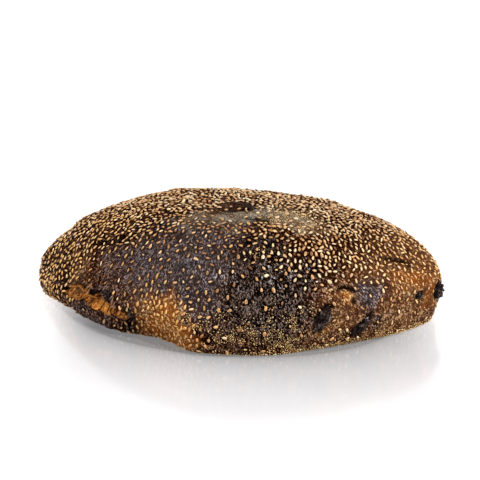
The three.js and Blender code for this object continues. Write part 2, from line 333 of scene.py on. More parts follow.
def beside_route(points, waypoints):
    """For each point: the share of the route where it is nearest, the distance beside it, positive up the
    slope, and the distance past its ends."""
    way = smooth_route(waypoints)
    marks, _, upslope, _ = surface_frame(loaf_form, way[:, 0], way[:, 1])
    nearest = np.full(points.shape[:-1], np.inf)
    share = np.zeros(points.shape[:-1])
    beside = np.zeros(points.shape[:-1])
    for number, (mark, up) in enumerate(zip(marks, upslope)):
        offset = points - mark
        distance = (offset**2).sum(-1)
        closer = distance < nearest
        nearest = np.where(closer, distance, nearest)
        share = np.where(closer, number / (ROUTE_STEPS - 1), share)
        beside = np.where(closer, offset @ up, beside)
    return share, beside, np.sqrt(np.maximum(nearest - beside**2, 0))


def taper(share, bluntness=0.6):
    """A spindle's width along its route: the sine of its share, to a power that blunts the ends."""
    return np.sin(np.pi * np.clip(share, 0, 1)) ** bluntness


seam_line = loaf_form(*smooth_route(BURST_SEAM).T)
print("seam length in mm:", round(float(np.linalg.norm(np.diff(seam_line, axis=0), axis=1).sum()), 1))

# %% [markdown]
# ## Where it baked dark
#
# The front stood nearest the heat and burnt almost black, the two ends stayed orange brown, flour clings
# beside the crown, and coarse semolina sticks to the foot. Vertex painting could draw this by hand. Short
# lists of spots, each with an angle, a turn, a reach in millimetres and a strength, give the same map.

# %% Baking spots
BAKED = {  # stored mask: its spots, each with an angle, a turn, a reach and a strength
    # The three spots at turns near 87 lie along the hollow beside the crown and darken it as painted shade;
    # the others are char.
    "burnt": [
        (290, 38, 22, 0.9), (306, 32, 21, 0.95), (299, 12, 18, 0.85), (304, 58, 13, 0.9),
        (311, 14, 10, 0.5), (285, 12, 16, 0.6), (240, -20, 10, 0.9), (335, -14, 6, 0.8),
        (293, 62, 8, 0.6), (318, 42, 10, 0.5), (250, 86.4, 6, 0.9), (290, 86.6, 7, 0.95),
        (325, 86.8, 6, 0.9), (100, 35, 26, 0.7), (75, 5, 20, 0.5),
    ],
    "scorched": [
        (225, 65, 18, 0.7), (240, 73, 14, 0.5), (345, -28, 20, 0.4), (356, -30, 16, 0.4),
        (285, -5, 20, 0.9), (300, -15, 20, 0.9), (312, -28, 14, 0.8), (272, -14, 14, 0.7),
        (200, 25, 28, 0.8), (190, 5, 24, 0.9), (214, -18, 16, 0.5), (228, -20, 16, 0.5),
        (218, 50, 24, 0.5), (20, 30, 30, 0.5), (150, 40, 40, 0.6), (80, 20, 40, 0.6),
    ],
    # Greyish crust, and on the left flank a pale lilac that paints sheen.
    "grey_crust_and_sheen": [
        (222, 38, 18, 0.4), (240, 42, 24, 0.8), (262, 46, 26, 0.9), (280, 58, 20, 0.7),
        (270, 28, 18, 0.7), (214, -14, 15, 0.4), (228, -16, 16, 0.4), (336, 12, 8, 0.9),
        (250, 66, 16, 0.5), (338, 4, 7, 0.6), (262, 75, 13, 0.8), (288, 75, 12, 0.7), (235, 72, 13, 0.7),
        (341, 12, 9, 0.5), (346, 14, 9, 0.4), (150, 32, 26, 0.7), (40, 40, 24, 0.6), (120, 50, 20, 0.6),
    ],
    "warm": [
        (345, 20, 30, 0.8), (350, -12, 28, 0.6), (336, -28, 20, 0.4), (5, 15, 34, 0.9),
        (207, 22, 16, 0.7), (190, 8, 22, 0.3), (248, 20, 14, 0.95), (250, 28, 12, 0.6),
        (244, 8, 12, 0.9), (328.5, 18, 6, 1.0), (320, -14, 5, 0.9), (323, 8, 10, 0.7),
        (324, -10, 12, 0.8), (312, -28, 14, 0.5), (60, 5, 40, 0.5), (120, 0, 40, 0.5), (165, 5, 30, 0.7),
        (28, 20, 26, 0.5),
    ],
    "flour": [
        (328, 76, 9, 0.9), (340, 73, 10, 0.9), (334, 67, 8, 0.9), (342, 79, 8, 0.7), (318, 72, 8, 0.5),
        (231, 78, 7, 0.7), (252, 81.5, 7, 0.85), (269, 80.5, 7, 0.85), (284, 79.5, 7, 0.85),
        (298, 79, 7, 0.85), (311, 79.5, 7, 0.85), (323, 80, 7, 0.85), (345, 83, 8, 0.7),
        (326, 74, 8, 0.6), (245, 74, 9, 0.45), (288, 74, 9, 0.45), (268, 75, 9, 0.4), (95, 75, 12, 0.5),
        (140, 70, 10, 0.4),
    ],
    # The spots at angles 355 and 3, low on the right end, paint light on a rim that faces away from the lamp;
    # the others are golden crust.
    "golden": [
        (249, -2, 10, 0.6), (257, 8, 11, 0.95), (266, 2, 11, 0.9), (262, 15, 9, 0.7),
        (258, -20, 10, 0.9), (270, -25, 10, 0.7), (194, -25, 9, 0.8), (327.5, 18.5, 4.5, 0.95),
        (329.5, 13, 4, 0.7), (320.5, -18, 3.5, 1.0), (346, 10, 14, 0.35), (352, 16, 12, 0.4),
        (355, -14, 13, 0.4), (3, -10, 14, 0.45), (2, 10, 9, 0.6),
    ],
}


def near_spots(points, spots):
    """1 at a spot, falling away like a bell over its reach, where several spots add up to 1 at most."""
    kept = np.ones(points.shape[:-1])
    for angle, turn, reach, strength in spots:
        offset = points - loaf_form(np.array(float(angle)), np.array(float(turn)))
        kept = kept * (1 - strength * np.exp(-(offset**2).sum(-1) / reach**2))
    return 1 - kept


print("spots:", {name: len(spots) for name, spots in BAKED.items()})

# %% [markdown]
# ## Places of the burnt tomato
#
# Pieces of dried tomato were kneaded in, and where one reached the crust it burnt black. Each has a solid
# in the frame. The crust needs their places before it is made, because it dips round each one and is
# darkened there with painted shade.
# Angle, turn, size across, up the slope and through, twist in degrees, and how far it stands out.

# %% Tomato pieces
TOMATO = {
    "front": (319.2, 2.5, (8, 17, 6), -40, 1.6),
    "foot": (332.8, -30, (13, 8, 6), 30, 1.3),
    "side": (351.5, -2, (7, 6.5, 5), 10, 0.7),
    "end": (357.8, -6, (7, 10.5, 11), 8, 4.6),
    "seam": (229.5, 16.5, (9, 6, 5), -35, 1.0),
    "back": (76, 15, (12, 8, 6), 30, 1.5),
    "back_left": (128, 4, (8, 13, 6), 20, 1.6),
    "back_right": (38, -8, (9, 7, 6), -15, 1.4),
}
THROUGH_WEIGHT = 0.25  # distance through the crust counts this much beside distance along it


def tomato_frame(angle, turn, twist):
    """A piece's place on the form and its axes across, along and out, turned on the crust by its twist."""
    point, around, upslope, outward = surface_frame(loaf_form, np.array(float(angle)), np.array(float(turn)))
    bend = math.radians(twist)
    across = math.cos(bend) * around + math.sin(bend) * upslope
    return point, np.stack([across, np.cross(outward, across), outward])


def tomato_distance(points):
    """How far the nearest piece is, measured in its own half sizes: 1 all round its edge."""
    nearest = np.full(points.shape[:-1], np.inf)
    for angle, turn, size, twist, _ in TOMATO.values():
        middle, axes = tomato_frame(angle, turn, twist)
        local = (points - middle) @ axes.T / (np.array(size) / 2)
        along = np.linalg.norm(local[..., :2], axis=-1)
        nearest = np.minimum(nearest, along + THROUGH_WEIGHT * np.abs(local[..., 2]))
    return nearest


print("tomato pieces:", ", ".join(TOMATO))

# %% [markdown]
# ## The crust's relief
#
# A baked crust is blistered, pitted where bubbles burst, and torn where it opened. A displacement modifier
# with a texture could lift a mesh, but it can't know where the seam is. These functions say what each cause
# does, as millimetres along the outward direction and down the slope.

# %% Grooves and lips
# Route, half width, depth, height and sag of the lip, the lip's side (1 up the slope), and darkness: how much
# painted shade fills it
GROOVES = [
    ([(230, 87.4), (294, 87), (336, 87.4)], 4.6, 2.4, 0.0, 0.0, -1, 1.0),
    ([(240, 85), (275, 84.6), (300, 84.8), (332, 86.1)], 1.8, 1.8, 1.6, 0.0, -1, 1.0),
    ([(217, 73), (213, 80), (235, 84)], 1.6, 1.0, 0.8, 0.0, -1, 0.6),
    ([(296, 78), (306, 76.5), (317, 73.5)], 1.2, 1.2, 0.8, 0.5, 1, 1.0),
    ([(325.5, 25), (328.5, 24), (332, 18.5)], 1.7, 2.4, 1.5, 1.4, 1, 1.0),
    ([(200, 26), (203, 15), (204.5, 4)], 1.3, 1.8, 0.5, 0.0, 1, 1.0),
    ([(239, 14), (241, 6), (239, -14)], 1.5, 2.6, 0.8, 0.0, 1, 1.0),
    ([(345, 40), (350, 34), (352.5, 27)], 1.2, 1.5, 0.9, 0.8, 1, 1.0),
    ([(203.5, 40), (211, 46.7), (216, 54), (218.5, 62)], 1.8, 1.2, 1.3, 0.4, 1, 0.7),
    ([(248, 43), (258.5, 46), (266.5, 49.5), (271.5, 52)], 1.3, 0.8, 0.8, 0.2, 1, 0.4),
    ([(60, 62), (80, 68), (105, 66), (130, 68)], 1.6, 1.6, 1.2, 1.0, 1, 0.7),
    ([(150, 20), (162, 26), (172, 24)], 1.5, 1.8, 1.0, 0.8, 1, 1.0),
]
GROOVE_WANDER, GROOVE_WANDER_SPAN = 0.8, 5.0
GROOVE_LIP, GROOVE_SAG = (1.8, 1.1), (1.3, 0.6)  # middle and spread, in half widths beside the route
GROOVE_END = 2.0  # it fades past its ends over this many half widths


def groove(points, waypoints, width, depth, lip, sag, side, darkness):
    """A dip along a route and a lip beside it: how far the crust moves out and sags, and how much painted
    shade darkens it.
    """
    share, beside, past_end = beside_route(points, waypoints)
    opened = taper(share) * hump(past_end, 0, GROOVE_END * width)
    wander = GROOVE_WANDER * layered_noise(points, GROOVE_WANDER_SPAN, layers=2, shift=5)
    across = side * beside / width + wander
    deep = opened * hump(across, 0, 1)
    raised = opened * hump(across, *GROOVE_LIP)
    over = opened * hump(across, *GROOVE_SAG)
    return lip * raised - depth * deep, sag * over, darkness * deep


print("grooves:", len(GROOVES))

# %% The burst seam
SEAM_WIDTH, SEAM_DEPTH, SEAM_BLUNTNESS, SEAM_END = 4.4, 4.4, 0.4, 3.0
SEAM_NARROWEST = 0.05  # mm, so that its pointed ends still have a width
SEAM_RAGGED, SEAM_RAGGED_SPAN = 0.5, 7.0
SEAM_FACE = (-1.15, -0.85), (0.9, 1.1)  # where the torn face starts and ends, from the foot to the lip
FACE_BACK, FACE_SLOPE = 0.62, 0.38  # shares of the depth: halfway up, and gained from there to the lip
LIP_OUT, LIP_PLACE = 1.2, (1.35, 0.4)
LIP_SAG, SAG_PLACE = 2.2, (1.15, 0.35)
FLAP_SIZE, FLAP_UNEVEN, FLAP_SPAN = 0.9, 0.7, 6.0
FIBRE_HEIGHT, FIBRE_SPAN, FIBRE_STRETCH, FIBRE_LEAN = 0.8, 1.0, 0.25, 0.5


def seam_place(points):
    """Where a point lies in the seam: how open it is, and its place across, from -1 at the foot to 1 at the
    lip."""
    share, beside, past_end = beside_route(points, BURST_SEAM)
    ragged = SEAM_RAGGED * layered_noise(points, SEAM_RAGGED_SPAN, layers=4, shift=3)
    width = taper(share, SEAM_BLUNTNESS)
    across = beside / (SEAM_WIDTH * width + SEAM_NARROWEST) + ragged
    return width * hump(past_end, 0, SEAM_END), across


def fibres(points):
    """Torn strands of crumb: noise drawn out upwards and a little to the right."""
    lean = points[..., :1] - FIBRE_LEAN * points[..., 2:]
    drawn = np.concatenate([lean, points[..., 1:2], FIBRE_STRETCH * points[..., 2:]], -1)
    return layered_noise(drawn, FIBRE_SPAN, layers=2, shift=4)


def seam_relief(points):
    """The torn face falls back steadily from the foot to the lip, with fibres that run up it."""
    opened, across = seam_place(points)
    inside = opened * plateau(across, *SEAM_FACE)
    face = -SEAM_DEPTH * (FACE_BACK + FACE_SLOPE * np.clip(across, -1, 1)) + FIBRE_HEIGHT * fibres(points)
    flaps = FLAP_SIZE + FLAP_UNEVEN * lattice_noise(points, FLAP_SPAN, shift=8)
    lip = opened * flaps * hump(across, *LIP_PLACE)
    over = opened * flaps * hump(across, *SAG_PLACE)
    return inside * face + LIP_OUT * lip, LIP_SAG * over


print("seam: width", SEAM_WIDTH * 2, "and depth", SEAM_DEPTH, "mm")

# %% Blisters, pits and all together
LUMP_HEIGHT, LUMP_SPAN = 1.5, 24.0
BLISTER_HEIGHT, BLISTER_SPAN, BLISTER_GAIN = 0.55, 4.4, 1.5
CHAR_HEIGHT, CHAR_SPAN = 0.9, 5.0
CHARRED = [(214, -14, 14, 1), (228, -16, 16, 1), (240, -18, 10, 1)]
PIT_DEPTH = 1.9
PITS = [
    (329.8, 11.5, 2.0, 1), (341.5, 17.5, 1.6, 1), (343.5, 15, 1.5, 1), (338, 20, 1.3, 1),
    (334, 6, 1.4, 0.8), (293, 62, 2.8, 1), (304, 59.5, 3.6, 1), (222, 17.5, 2.2, 1), (225, 19, 2.0, 1),
    (334.8, -14, 2.6, 1), (333.6, -20, 2.0, 1), (335.6, -9, 1.8, 1), (212, 62, 2.4, 0.8),
    (243, 52, 1.8, 0.7), (118, 55, 2.8, 0.8), (62, 48, 2.4, 0.8), (160, 34, 2.6, 0.8),
    (20, 55, 2.6, 0.8), (356, 38, 2.0, 0.8), (14, 57, 2.4, 0.9),
]
RIM_HEIGHT, RIM_PLACE = 0.8, (1.45, 0.3)
POCKET_DEPTH, POCKET_EDGE, POCKET_RAGGED, POCKET_SPAN = 1.5, 6, 0.45, 3.0
GAP_EDGE, GAP_REACH = 8, 1.12
FLUSH_HEIGHT = 2.5  # mm: the relief fades out below this, so that the foot stands flat


def blister(points):
    """Round blisters with sharp creases between them: the size of layered noise, whichever its sign."""
    uneven = layered_noise(points, BLISTER_SPAN, layers=3, shift=9)
    return np.minimum(np.abs(uneven) * BLISTER_GAIN, 1)


def crust_relief(points):
    """How far the crust moves out and sags down the slope, and how much painted shade darkens it, up to 1."""
    out, sag = seam_relief(points)
    out = out + LUMP_HEIGHT * layered_noise(points, LUMP_SPAN, layers=3)
    out = out + BLISTER_HEIGHT * (blister(points) - 0.5)
    charred = layered_noise(points, CHAR_SPAN, layers=2, shift=14)
    out = out + CHAR_HEIGHT * near_spots(points, CHARRED) * charred
    pits = near_spots(points, PITS)
    edge = tomato_distance(points)
    ragged = edge + POCKET_RAGGED * layered_noise(points, POCKET_SPAN, layers=2, shift=16)
    ragged = np.maximum(ragged, 0)
    pocket = np.exp(-(ragged**POCKET_EDGE))
    out = out - PIT_DEPTH * pits - POCKET_DEPTH * pocket + RIM_HEIGHT * hump(edge, *RIM_PLACE)
    # The gap round each tomato piece and the pits get painted shade.
    gap = np.exp(-((ragged / GAP_REACH) ** GAP_EDGE))
    dark = np.maximum(pits, gap)
    for route, *shape in GROOVES:
        move, over, deep = groove(points, route, *shape)
        out, sag, dark = out + move, sag + over, np.maximum(dark, deep)
    flush = smooth_step(points[..., 2], 0.0, FLUSH_HEIGHT)
    return out * flush, sag * flush, dark


def crust_surface(angle, turn):
    """The form, moved out by the relief and down the slope by the sag, and never below the base."""
    points, _, upslope, outward = surface_frame(loaf_form, angle, turn)
    out, sag, _ = crust_relief(points)
    moved = points + outward * out[..., None] - upslope * sag[..., None]
    moved[..., 2] = np.maximum(moved[..., 2], 0)
    return moved


# %% What the crust stores
DRIFT, DRIFT_SPAN, DRIFT_LAYERS = 6.0, 14.0, 3  # how far the edges of the baked spots are blurred, in mm
CRUMB_FACE = (-1.2, -0.8), (0.7, 1.05)
CRUMB_GAIN, DARK_GAIN = 2, 1.2
UNDER_LIP = (1.0, 0.2)
FIBRE_MIDDLE, FIBRE_CONTRAST = 0.42, 1.3
CREASE_WIDTH = 0.22


def baking(points):
    """Masks from 0 to 1 over the crust, their edges blurred by moving each point a little at random."""
    drift = [layered_noise(points, DRIFT_SPAN, DRIFT_LAYERS, shift=20 + axis) for axis in range(3)]
    moved = points + DRIFT * np.stack(drift, -1)
    masks = {name: near_spots(moved, spots) for name, spots in BAKED.items()}
    opened, across = seam_place(points)
    _, _, dark = crust_relief(points)
    masks["crumb"] = np.clip(CRUMB_GAIN * opened * plateau(across, *CRUMB_FACE), 0, 1)
    # Streaks along the torn strands, lighter and darker in the crumb's colour as painted light and shade.
    masks["fibre_shading"] = np.clip(FIBRE_MIDDLE + FIBRE_CONTRAST * fibres(points), 0, 1)
    # Painted shade: pits, gaps round the tomato, grooves and the hollow under the seam's lip.
    masks["dark"] = np.clip(dark * DARK_GAIN + opened * hump(across, *UNDER_LIP), 0, 1)
    # Creases between blisters, which the material darkens as painted shade.
    masks["crease"] = hump(blister(points), 0, CREASE_WIDTH)
    return masks


relief = crust_relief(sample[::40])[0]
print("relief in mm: from", relief.min().round(1), "to", relief.max().round(1))

# %% [markdown]
# ## Shader groups
#
# Crust, seeds, semolina and tomato share a few effects: a mottled colour, a dry, wrinkled grain, a skin of
# fine blisters and thin winding lines. Each is a node group, built once and placed in every material with
# its own values, so that a change in the group reaches all of them. A group takes the place where it is
# drawn, so that the same noise can lie evenly on one piece and be drawn out into streaks on another.

# %% Node helpers
def colour(code):
    """A web colour code as linear red, green, blue and alpha."""
    shown = np.array([int(code[i:i + 2], 16) for i in (1, 3, 5)]) / 255
    linear = np.where(shown <= 0.04045, shown / 12.92, ((shown + 0.055) / 1.055) ** 2.4)
    return (*linear.tolist(), 1.0)


def feed(tree, socket, value):
    """Links a socket into another, or sets a plain value on it."""
    if isinstance(value, bpy.types.NodeSocket):
        tree.links.new(value, socket)
    else:
        socket.default_value = value


def add_node(tree, kind, inputs=None, **settings):
    """A node of a kind, with its settings and its inputs given by name or number."""
    node = tree.nodes.new(kind)
    for name, value in settings.items():
        setattr(node, name, value)
    for name, value in (inputs or {}).items():
        feed(tree, node.inputs[name], value)
    return node


def maths(tree, operation, first, second=0.0, third=0.0, clamp=False):
    """The result of one Math node."""
    numbers = {0: first, 1: second, 2: third}
    return add_node(tree, "ShaderNodeMath", numbers, operation=operation, use_clamp=clamp).outputs[0]


def scaled(tree, value, factor, offset=0.0, clamp=False):
    """A number times a factor, plus an offset."""
    return maths(tree, "MULTIPLY_ADD", value, factor, offset, clamp)


def risen(tree, value, start, gain=1.0):
    """How far a number has risen past a start, times a gain, held between 0 and 1."""
    return scaled(tree, value, gain, -gain * start, clamp=True)


def blend(tree, factor, first, second, way="MIX"):
    """Two colours mixed by a factor, plainly or in another way such as MULTIPLY."""
    inputs = {0: factor, 6: first, 7: second}
    return add_node(tree, "ShaderNodeMix", inputs, data_type="RGBA", blend_type=way).outputs[2]


def noise(tree, place, scale, detail=2.0, roughness=0.5, **settings):
    """A Noise Texture node at a place."""
    inputs = {"Vector": place, "Scale": scale, "Detail": detail, "Roughness": roughness}
    return add_node(tree, "ShaderNodeTexNoise", inputs, **settings)


# %% Node groups
FINER = 3.0  # dry grain's finer noise is this many times as fine
DOME_STEEPNESS = 1.25
DOME_DRIFT = 0.0015  # metres by which noise moves the domes


def new_group(name, inputs, output_names):
    """An empty node group that takes a place and named numbers, and the sockets of its two end nodes."""
    tree = bpy.data.node_groups.new(name, "ShaderNodeTree")
    tree.interface.new_socket("Place", in_out="INPUT", socket_type="NodeSocketVector")
    for label, value in inputs.items():
        tree.interface.new_socket(label, in_out="INPUT", socket_type="NodeSocketFloat").default_value = value
    for label in output_names:
        tree.interface.new_socket(label, in_out="OUTPUT", socket_type="NodeSocketFloat")
    return tree, tree.nodes.new("NodeGroupInput").outputs, tree.nodes.new("NodeGroupOutput").inputs


def mottle_group():
    """Noise, its contrast raised about a middle value."""
    tree, given, result = new_group(
        "mottle", {"Scale": 200.0, "Contrast": 2.0, "Detail": 4.0, "Middle": 0.5}, ["Mask"])
    uneven = noise(tree, given["Place"], given["Scale"], given["Detail"], 0.6)
    away = maths(tree, "SUBTRACT", uneven.outputs["Fac"], given["Middle"])
    feed(tree, result["Mask"], scaled(tree, away, given["Contrast"], 0.5, clamp=True))
    return tree


def grain_group():
    """The height of a dry, wrinkled skin: ridged noise, and finer noise over it."""
    tree, given, result = new_group("dry_grain", {"Scale": 500.0, "Fine": 0.4}, ["Height"])
    ridges = noise(tree, given["Place"], given["Scale"], noise_type="RIDGED_MULTIFRACTAL")
    fine = noise(tree, given["Place"], maths(tree, "MULTIPLY", given["Scale"], FINER))
    wrinkled = maths(tree, "MULTIPLY", ridges.outputs["Fac"], maths(tree, "SUBTRACT", 1.0, given["Fine"]))
    feed(tree, result["Height"], scaled(tree, fine.outputs["Fac"], given["Fine"], wrinkled))
    return tree


def blister_group():
    """Small uneven domes with sharp valleys between them: one less the distance to the nearest random centre,
    and a random number that tells each dome from its neighbours."""
    tree, given, result = new_group("fine_blisters", {"Scale": 500.0}, ["Dome", "Cell"])
    drift = noise(tree, given["Place"], given["Scale"]).outputs["Color"]
    moved = add_node(tree, "ShaderNodeVectorMath", {
        0: drift, 1: (DOME_DRIFT,) * 3, 2: given["Place"]}, operation="MULTIPLY_ADD")
    cells = add_node(tree, "ShaderNodeTexVoronoi", {"Vector": moved.outputs[0], "Scale": given["Scale"]})
    feed(tree, result["Dome"], scaled(tree, cells.outputs["Distance"], -DOME_STEEPNESS, 1.0, clamp=True))
    own = add_node(tree, "ShaderNodeSeparateColor", {"Color": cells.outputs["Color"]})
    feed(tree, result["Cell"], own.outputs["Red"])
    return tree


def wrinkle_group():
    """Thin winding lines: where noise passes through its middle value."""
    tree, given, result = new_group("wrinkles", {"Scale": 400.0, "Width": 0.05}, ["Line"])
    winding = noise(tree, given["Place"], given["Scale"], roughness=0.6)
    away = maths(tree, "ABSOLUTE", maths(tree, "SUBTRACT", winding.outputs["Fac"], 0.5))
    widths = maths(tree, "DIVIDE", away, given["Width"])
    feed(tree, result["Line"], maths(tree, "SUBTRACT", 1.0, widths, clamp=True))
    return tree


MOTTLE = mottle_group()
GRAIN = grain_group()
FINE_BLISTERS = blister_group()
WRINKLES = wrinkle_group()
print("groups:", [group.name for group in bpy.data.node_groups])

# %% Material helpers
def new_material(name):
    """An empty node material and its tree, with the output's surface socket."""
    material = bpy.data.materials.new(name)
    material.use_nodes = True
    material.node_tree.nodes.clear()
    output = material.node_tree.nodes.new("ShaderNodeOutputMaterial")
    return material, material.node_tree, output.inputs["Surface"]


def end_with(tree, surface, **inputs):
    """Ends a material with one Principled shader, whose inputs are named with _ for each space."""
    named = {name.replace("_", " "): value for name, value in inputs.items()}
    shader = add_node(tree, "ShaderNodeBsdfPrincipled", named)
    feed(tree, surface, shader.outputs["BSDF"])


def placed(tree, group, output, place=None, **inputs):
    """One output of a node group with its own values, on the piece's own coordinates or on a stored place."""
    if place is None:
        place = add_node(tree, "ShaderNodeTexCoord").outputs["Object"]
    return add_node(tree, "ShaderNodeGroup", {"Place": place, **inputs}, node_tree=group).outputs[output]


def stored(tree, name, kind="Fac"):
    """A number, or with the kind Vector a place, that the piece stores for each point."""
    return add_node(tree, "ShaderNodeAttribute", attribute_name=name).outputs[kind]


def bumped(tree, height, distance, strength=1.0):
    """A normal bent by a height, with the distance in metres."""
    inputs = {"Height": height, "Distance": distance, "Strength": strength}
    return add_node(tree, "ShaderNodeBump", inputs).outputs["Normal"]


# %% [markdown]
# ## The crust's finish
#
# Crust runs from orange brown through dark brown to black, and every colour is speckled: painted highlights
# make the tops of its grain pale and painted shade makes the gaps between them nearly black, in fine streaks
# that run up the slope, because the skin of the dough stretched that way as it rose. An image could be
# wrapped round it, but a formula has no seams and no fixed resolution. Each stored mask says where a pair of
# colours belongs, and mottling frays its edge. Creases, openings and the crust round each seed are darkened
# with painted shade, and a bluish tint and the pale lilac of a greyish zone paint sheen.

# %% Crust material
PLAIN_CRUST = ("#240900", "#bc8560")
ZONES = {  # stored mask: its dark and its pale colour
    "scorched": ("#140300", "#805038"),
    "warm": ("#3e1604", "#f0b880"),
    # Its pale lilac paints sheen as well as greyish crust.
    "grey_crust_and_sheen": ("#1a0e0e", "#b8a4a4"),
    "burnt": ("#060100", "#867066"),
    "flour": ("#7a6348", "#fff0d8"),
    "golden": ("#a05a20", "#ffe4a8"),
    "crumb": ("#4a1600", "#ffaa50"),
}
# Near black, laid over pits, grooves, openings and gaps as painted shade.
CREVICE_SHADE = colour("#040101")
# The bluish tint paints patches of sheen; the ruddy one is the crust's own colour.
RUDDY, BLUISH_SHEEN = (1.0, 0.89, 0.76, 1.0), (0.9, 0.95, 1.02, 1.0)  # tints that drift over the whole crust
# Dome peaks and wrinkle lines are painted highlights and the hollows are painted shade; specks mix the
# crust's own grain with painted highlights, and patches and clouds are its own uneven tone.
TONE_SHARES = {"speck": 0.35, "patch": 0.2, "painted_highlight": 0.65, "line": 0.5, "painted_shade": -0.6, "cloud": 0.14}
TONE_START, TONE_GAIN, GLOSS_START = 0.4, 2.5, 0.4
PEAK_START, PEAK_GAIN = 0.3, 2.2
CELL_START, CELL_GAIN = 0.25, 1.5  # some domes stay dark
CREASE_SHARE = 0.3
TORN_SHARE = 0.55
CALM_SHARE, CALM_LEAST = 0.7, 0.07
PATCHY_SHARE, PATCHY_LEAST = 0.75, 0.3
FRAY_MASK, FRAY_NOISE, FRAY_START = 1.6, 0.8, 0.75
ROUGH_SHARE, ROUGH_LEAST = 0.2, 0.5
GRAIN_BUMP, DOME_BUMP, BUMP_HEIGHT = 0.7, 0.9, 0.001


def frayed(tree, mask, uneven):
    """A mask whose edge is broken up by noise."""
    return scaled(tree, mask, FRAY_MASK, scaled(tree, uneven, FRAY_NOISE, -FRAY_START), clamp=True)


def crust_tone(tree, patch, cloud, dome):
    """How pale each speck is, from 0 to 1: the sum of its causes by their shares, its contrast raised. The
    tops of chosen domes and thin wrinkle lines are painted highlights, creases and the crust round each seed
    are painted shade, streaked specks mix the crust's own grain with painted highlights, and patches and
    clouds vary its own tone.
    """
    streak = stored(tree, "streak", "Vector")
    chosen = risen(tree, dome.node.outputs["Cell"], CELL_START, CELL_GAIN)
    crease = scaled(tree, stored(tree, "crease"), CREASE_SHARE)
    causes = {
        "speck": placed(tree, MOTTLE, "Mask", streak, Scale=1250.0, Contrast=10.0, Detail=1.0, Middle=0.56),
        "patch": patch,
        "painted_highlight": maths(tree, "MULTIPLY", risen(tree, dome, PEAK_START, PEAK_GAIN), chosen),
        "line": placed(tree, WRINKLES, "Line", streak, Scale=600.0, Width=0.05),
        "painted_shade": maths(tree, "MAXIMUM", crease, stored(tree, "seed_shadow")),
        "cloud": cloud,
    }
    tone = 0.0
    for name, share in TONE_SHARES.items():
        tone = scaled(tree, causes[name], share, tone)
    return risen(tree, tone, TONE_START, TONE_GAIN)


def crust_material():
    """Plain crust, then each zone's colours where its mask says so, with painted shade in creases and
    openings.
    """
    material, tree, surface = new_material("crust")
    patch = placed(tree, MOTTLE, "Mask", Scale=300.0, Contrast=2.6, Detail=3.0)
    cloud = placed(tree, MOTTLE, "Mask", Scale=100.0, Contrast=3.0, Detail=3.0)
    dome = placed(tree, FINE_BLISTERS, "Dome", stored(tree, "streak", "Vector"), Scale=1350.0)
    height = placed(tree, GRAIN, "Height", Scale=600.0, Fine=0.4)
    tone = crust_tone(tree, patch, cloud, dome)
    tones = {
        "crumb": scaled(tree, tone, TORN_SHARE, stored(tree, "fibre_shading")),
        "grey_crust_and_sheen": scaled(tree, tone, scaled(tree, patch, PATCHY_SHARE, PATCHY_LEAST), CALM_LEAST),
        "warm": scaled(tree, tone, CALM_SHARE, CALM_LEAST),
    }
    shade = blend(tree, tone, *map(colour, PLAIN_CRUST))
    for mask, pair in ZONES.items():
        inside = blend(tree, tones.get(mask, tone), *map(colour, pair))
        shade = blend(tree, frayed(tree, stored(tree, mask), patch), shade, inside)
    shade = blend(tree, 1.0, shade, blend(tree, cloud, RUDDY, BLUISH_SHEEN), "MULTIPLY")
    bump = scaled(tree, height, GRAIN_BUMP, scaled(tree, dome, DOME_BUMP))
    end_with(
        tree, surface, Base_Color=blend(tree, stored(tree, "dark"), shade, CREVICE_SHADE),
        Roughness=scaled(tree, patch, ROUGH_SHARE, ROUGH_LEAST), Specular_IOR_Level=0.02,
        Normal=bumped(tree, bump, BUMP_HEIGHT), Coat_Weight=risen(tree, tone, GLOSS_START),
        Coat_Roughness=0.3)
    return material


# %% [markdown]
# ## The crust
#
# The crust is one closed skin from the middle of the base, out to its edge, up the wall and over the dome.
# A subdivided sphere could be pushed into shape, but rows and columns laid evenly along the profile and the
# outline put the points where the detail is, with more columns across the torn seam. Each point also stores
# where its streaks are drawn, a place that changes slowly up the slope and fast round the loaf.

# %% Crust mesh
COLUMNS, SEAM_COLUMNS, ROWS, BASE_ROWS = 500, 150, 154, 6
SEAM_ANGLES = (201.0, 243.0)
PROFILE_ANGLE, PROFILE_STEPS = 285.0, 2000
STREAK_RING, STREAK_CORE, STREAK_CLIMB = 70.0, 40.0, 0.5


def even_columns():
    """Angles evenly spaced along an ellipse of the loaf's size, and closer together across the seam."""
    share = np.linspace(0, 2 * np.pi, COLUMNS, endpoint=False)
    angles = np.degrees(np.arctan2(FRONT_DEPTH * np.sin(share), HALF_LENGTH * np.cos(share))) % 360
    outside = angles[(angles < SEAM_ANGLES[0]) | (angles > SEAM_ANGLES[1])]
    return np.sort(np.concatenate([outside, np.linspace(*SEAM_ANGLES, SEAM_COLUMNS)]))


def even_turns(first, last, shares):
    """Turns at given shares of the arc length up the front's profile, between two turns."""
    fine = np.linspace(first, last, PROFILE_STEPS)
    profile = loaf_form(np.full_like(fine, PROFILE_ANGLE), fine)
    length = np.concatenate([[0], np.cumsum(np.linalg.norm(np.diff(profile, axis=0), axis=1))])
    return np.interp(shares * length[-1], length, fine)


def closed_faces(rows, columns):
    """Faces of a grid that closes round its columns, with one point before its first row and one after its
    last."""
    row, column = np.meshgrid(np.arange(rows - 1), np.arange(columns), indexing="ij")
    following = (column + 1) % columns
    quads = np.stack([row * columns + column, row * columns + following,
                      (row + 1) * columns + following, (row + 1) * columns + column], -1).reshape(-1, 4) + 1
    ring = np.arange(columns)
    after = (ring + 1) % columns
    last = (rows - 1) * columns
    first_fan = np.stack([np.zeros(columns, int), after + 1, ring + 1], -1)
    last_fan = np.stack([last + ring + 1, last + after + 1, np.full(columns, rows * columns + 1)], -1)
    return quads.tolist() + first_fan.tolist() + last_fan.tolist()


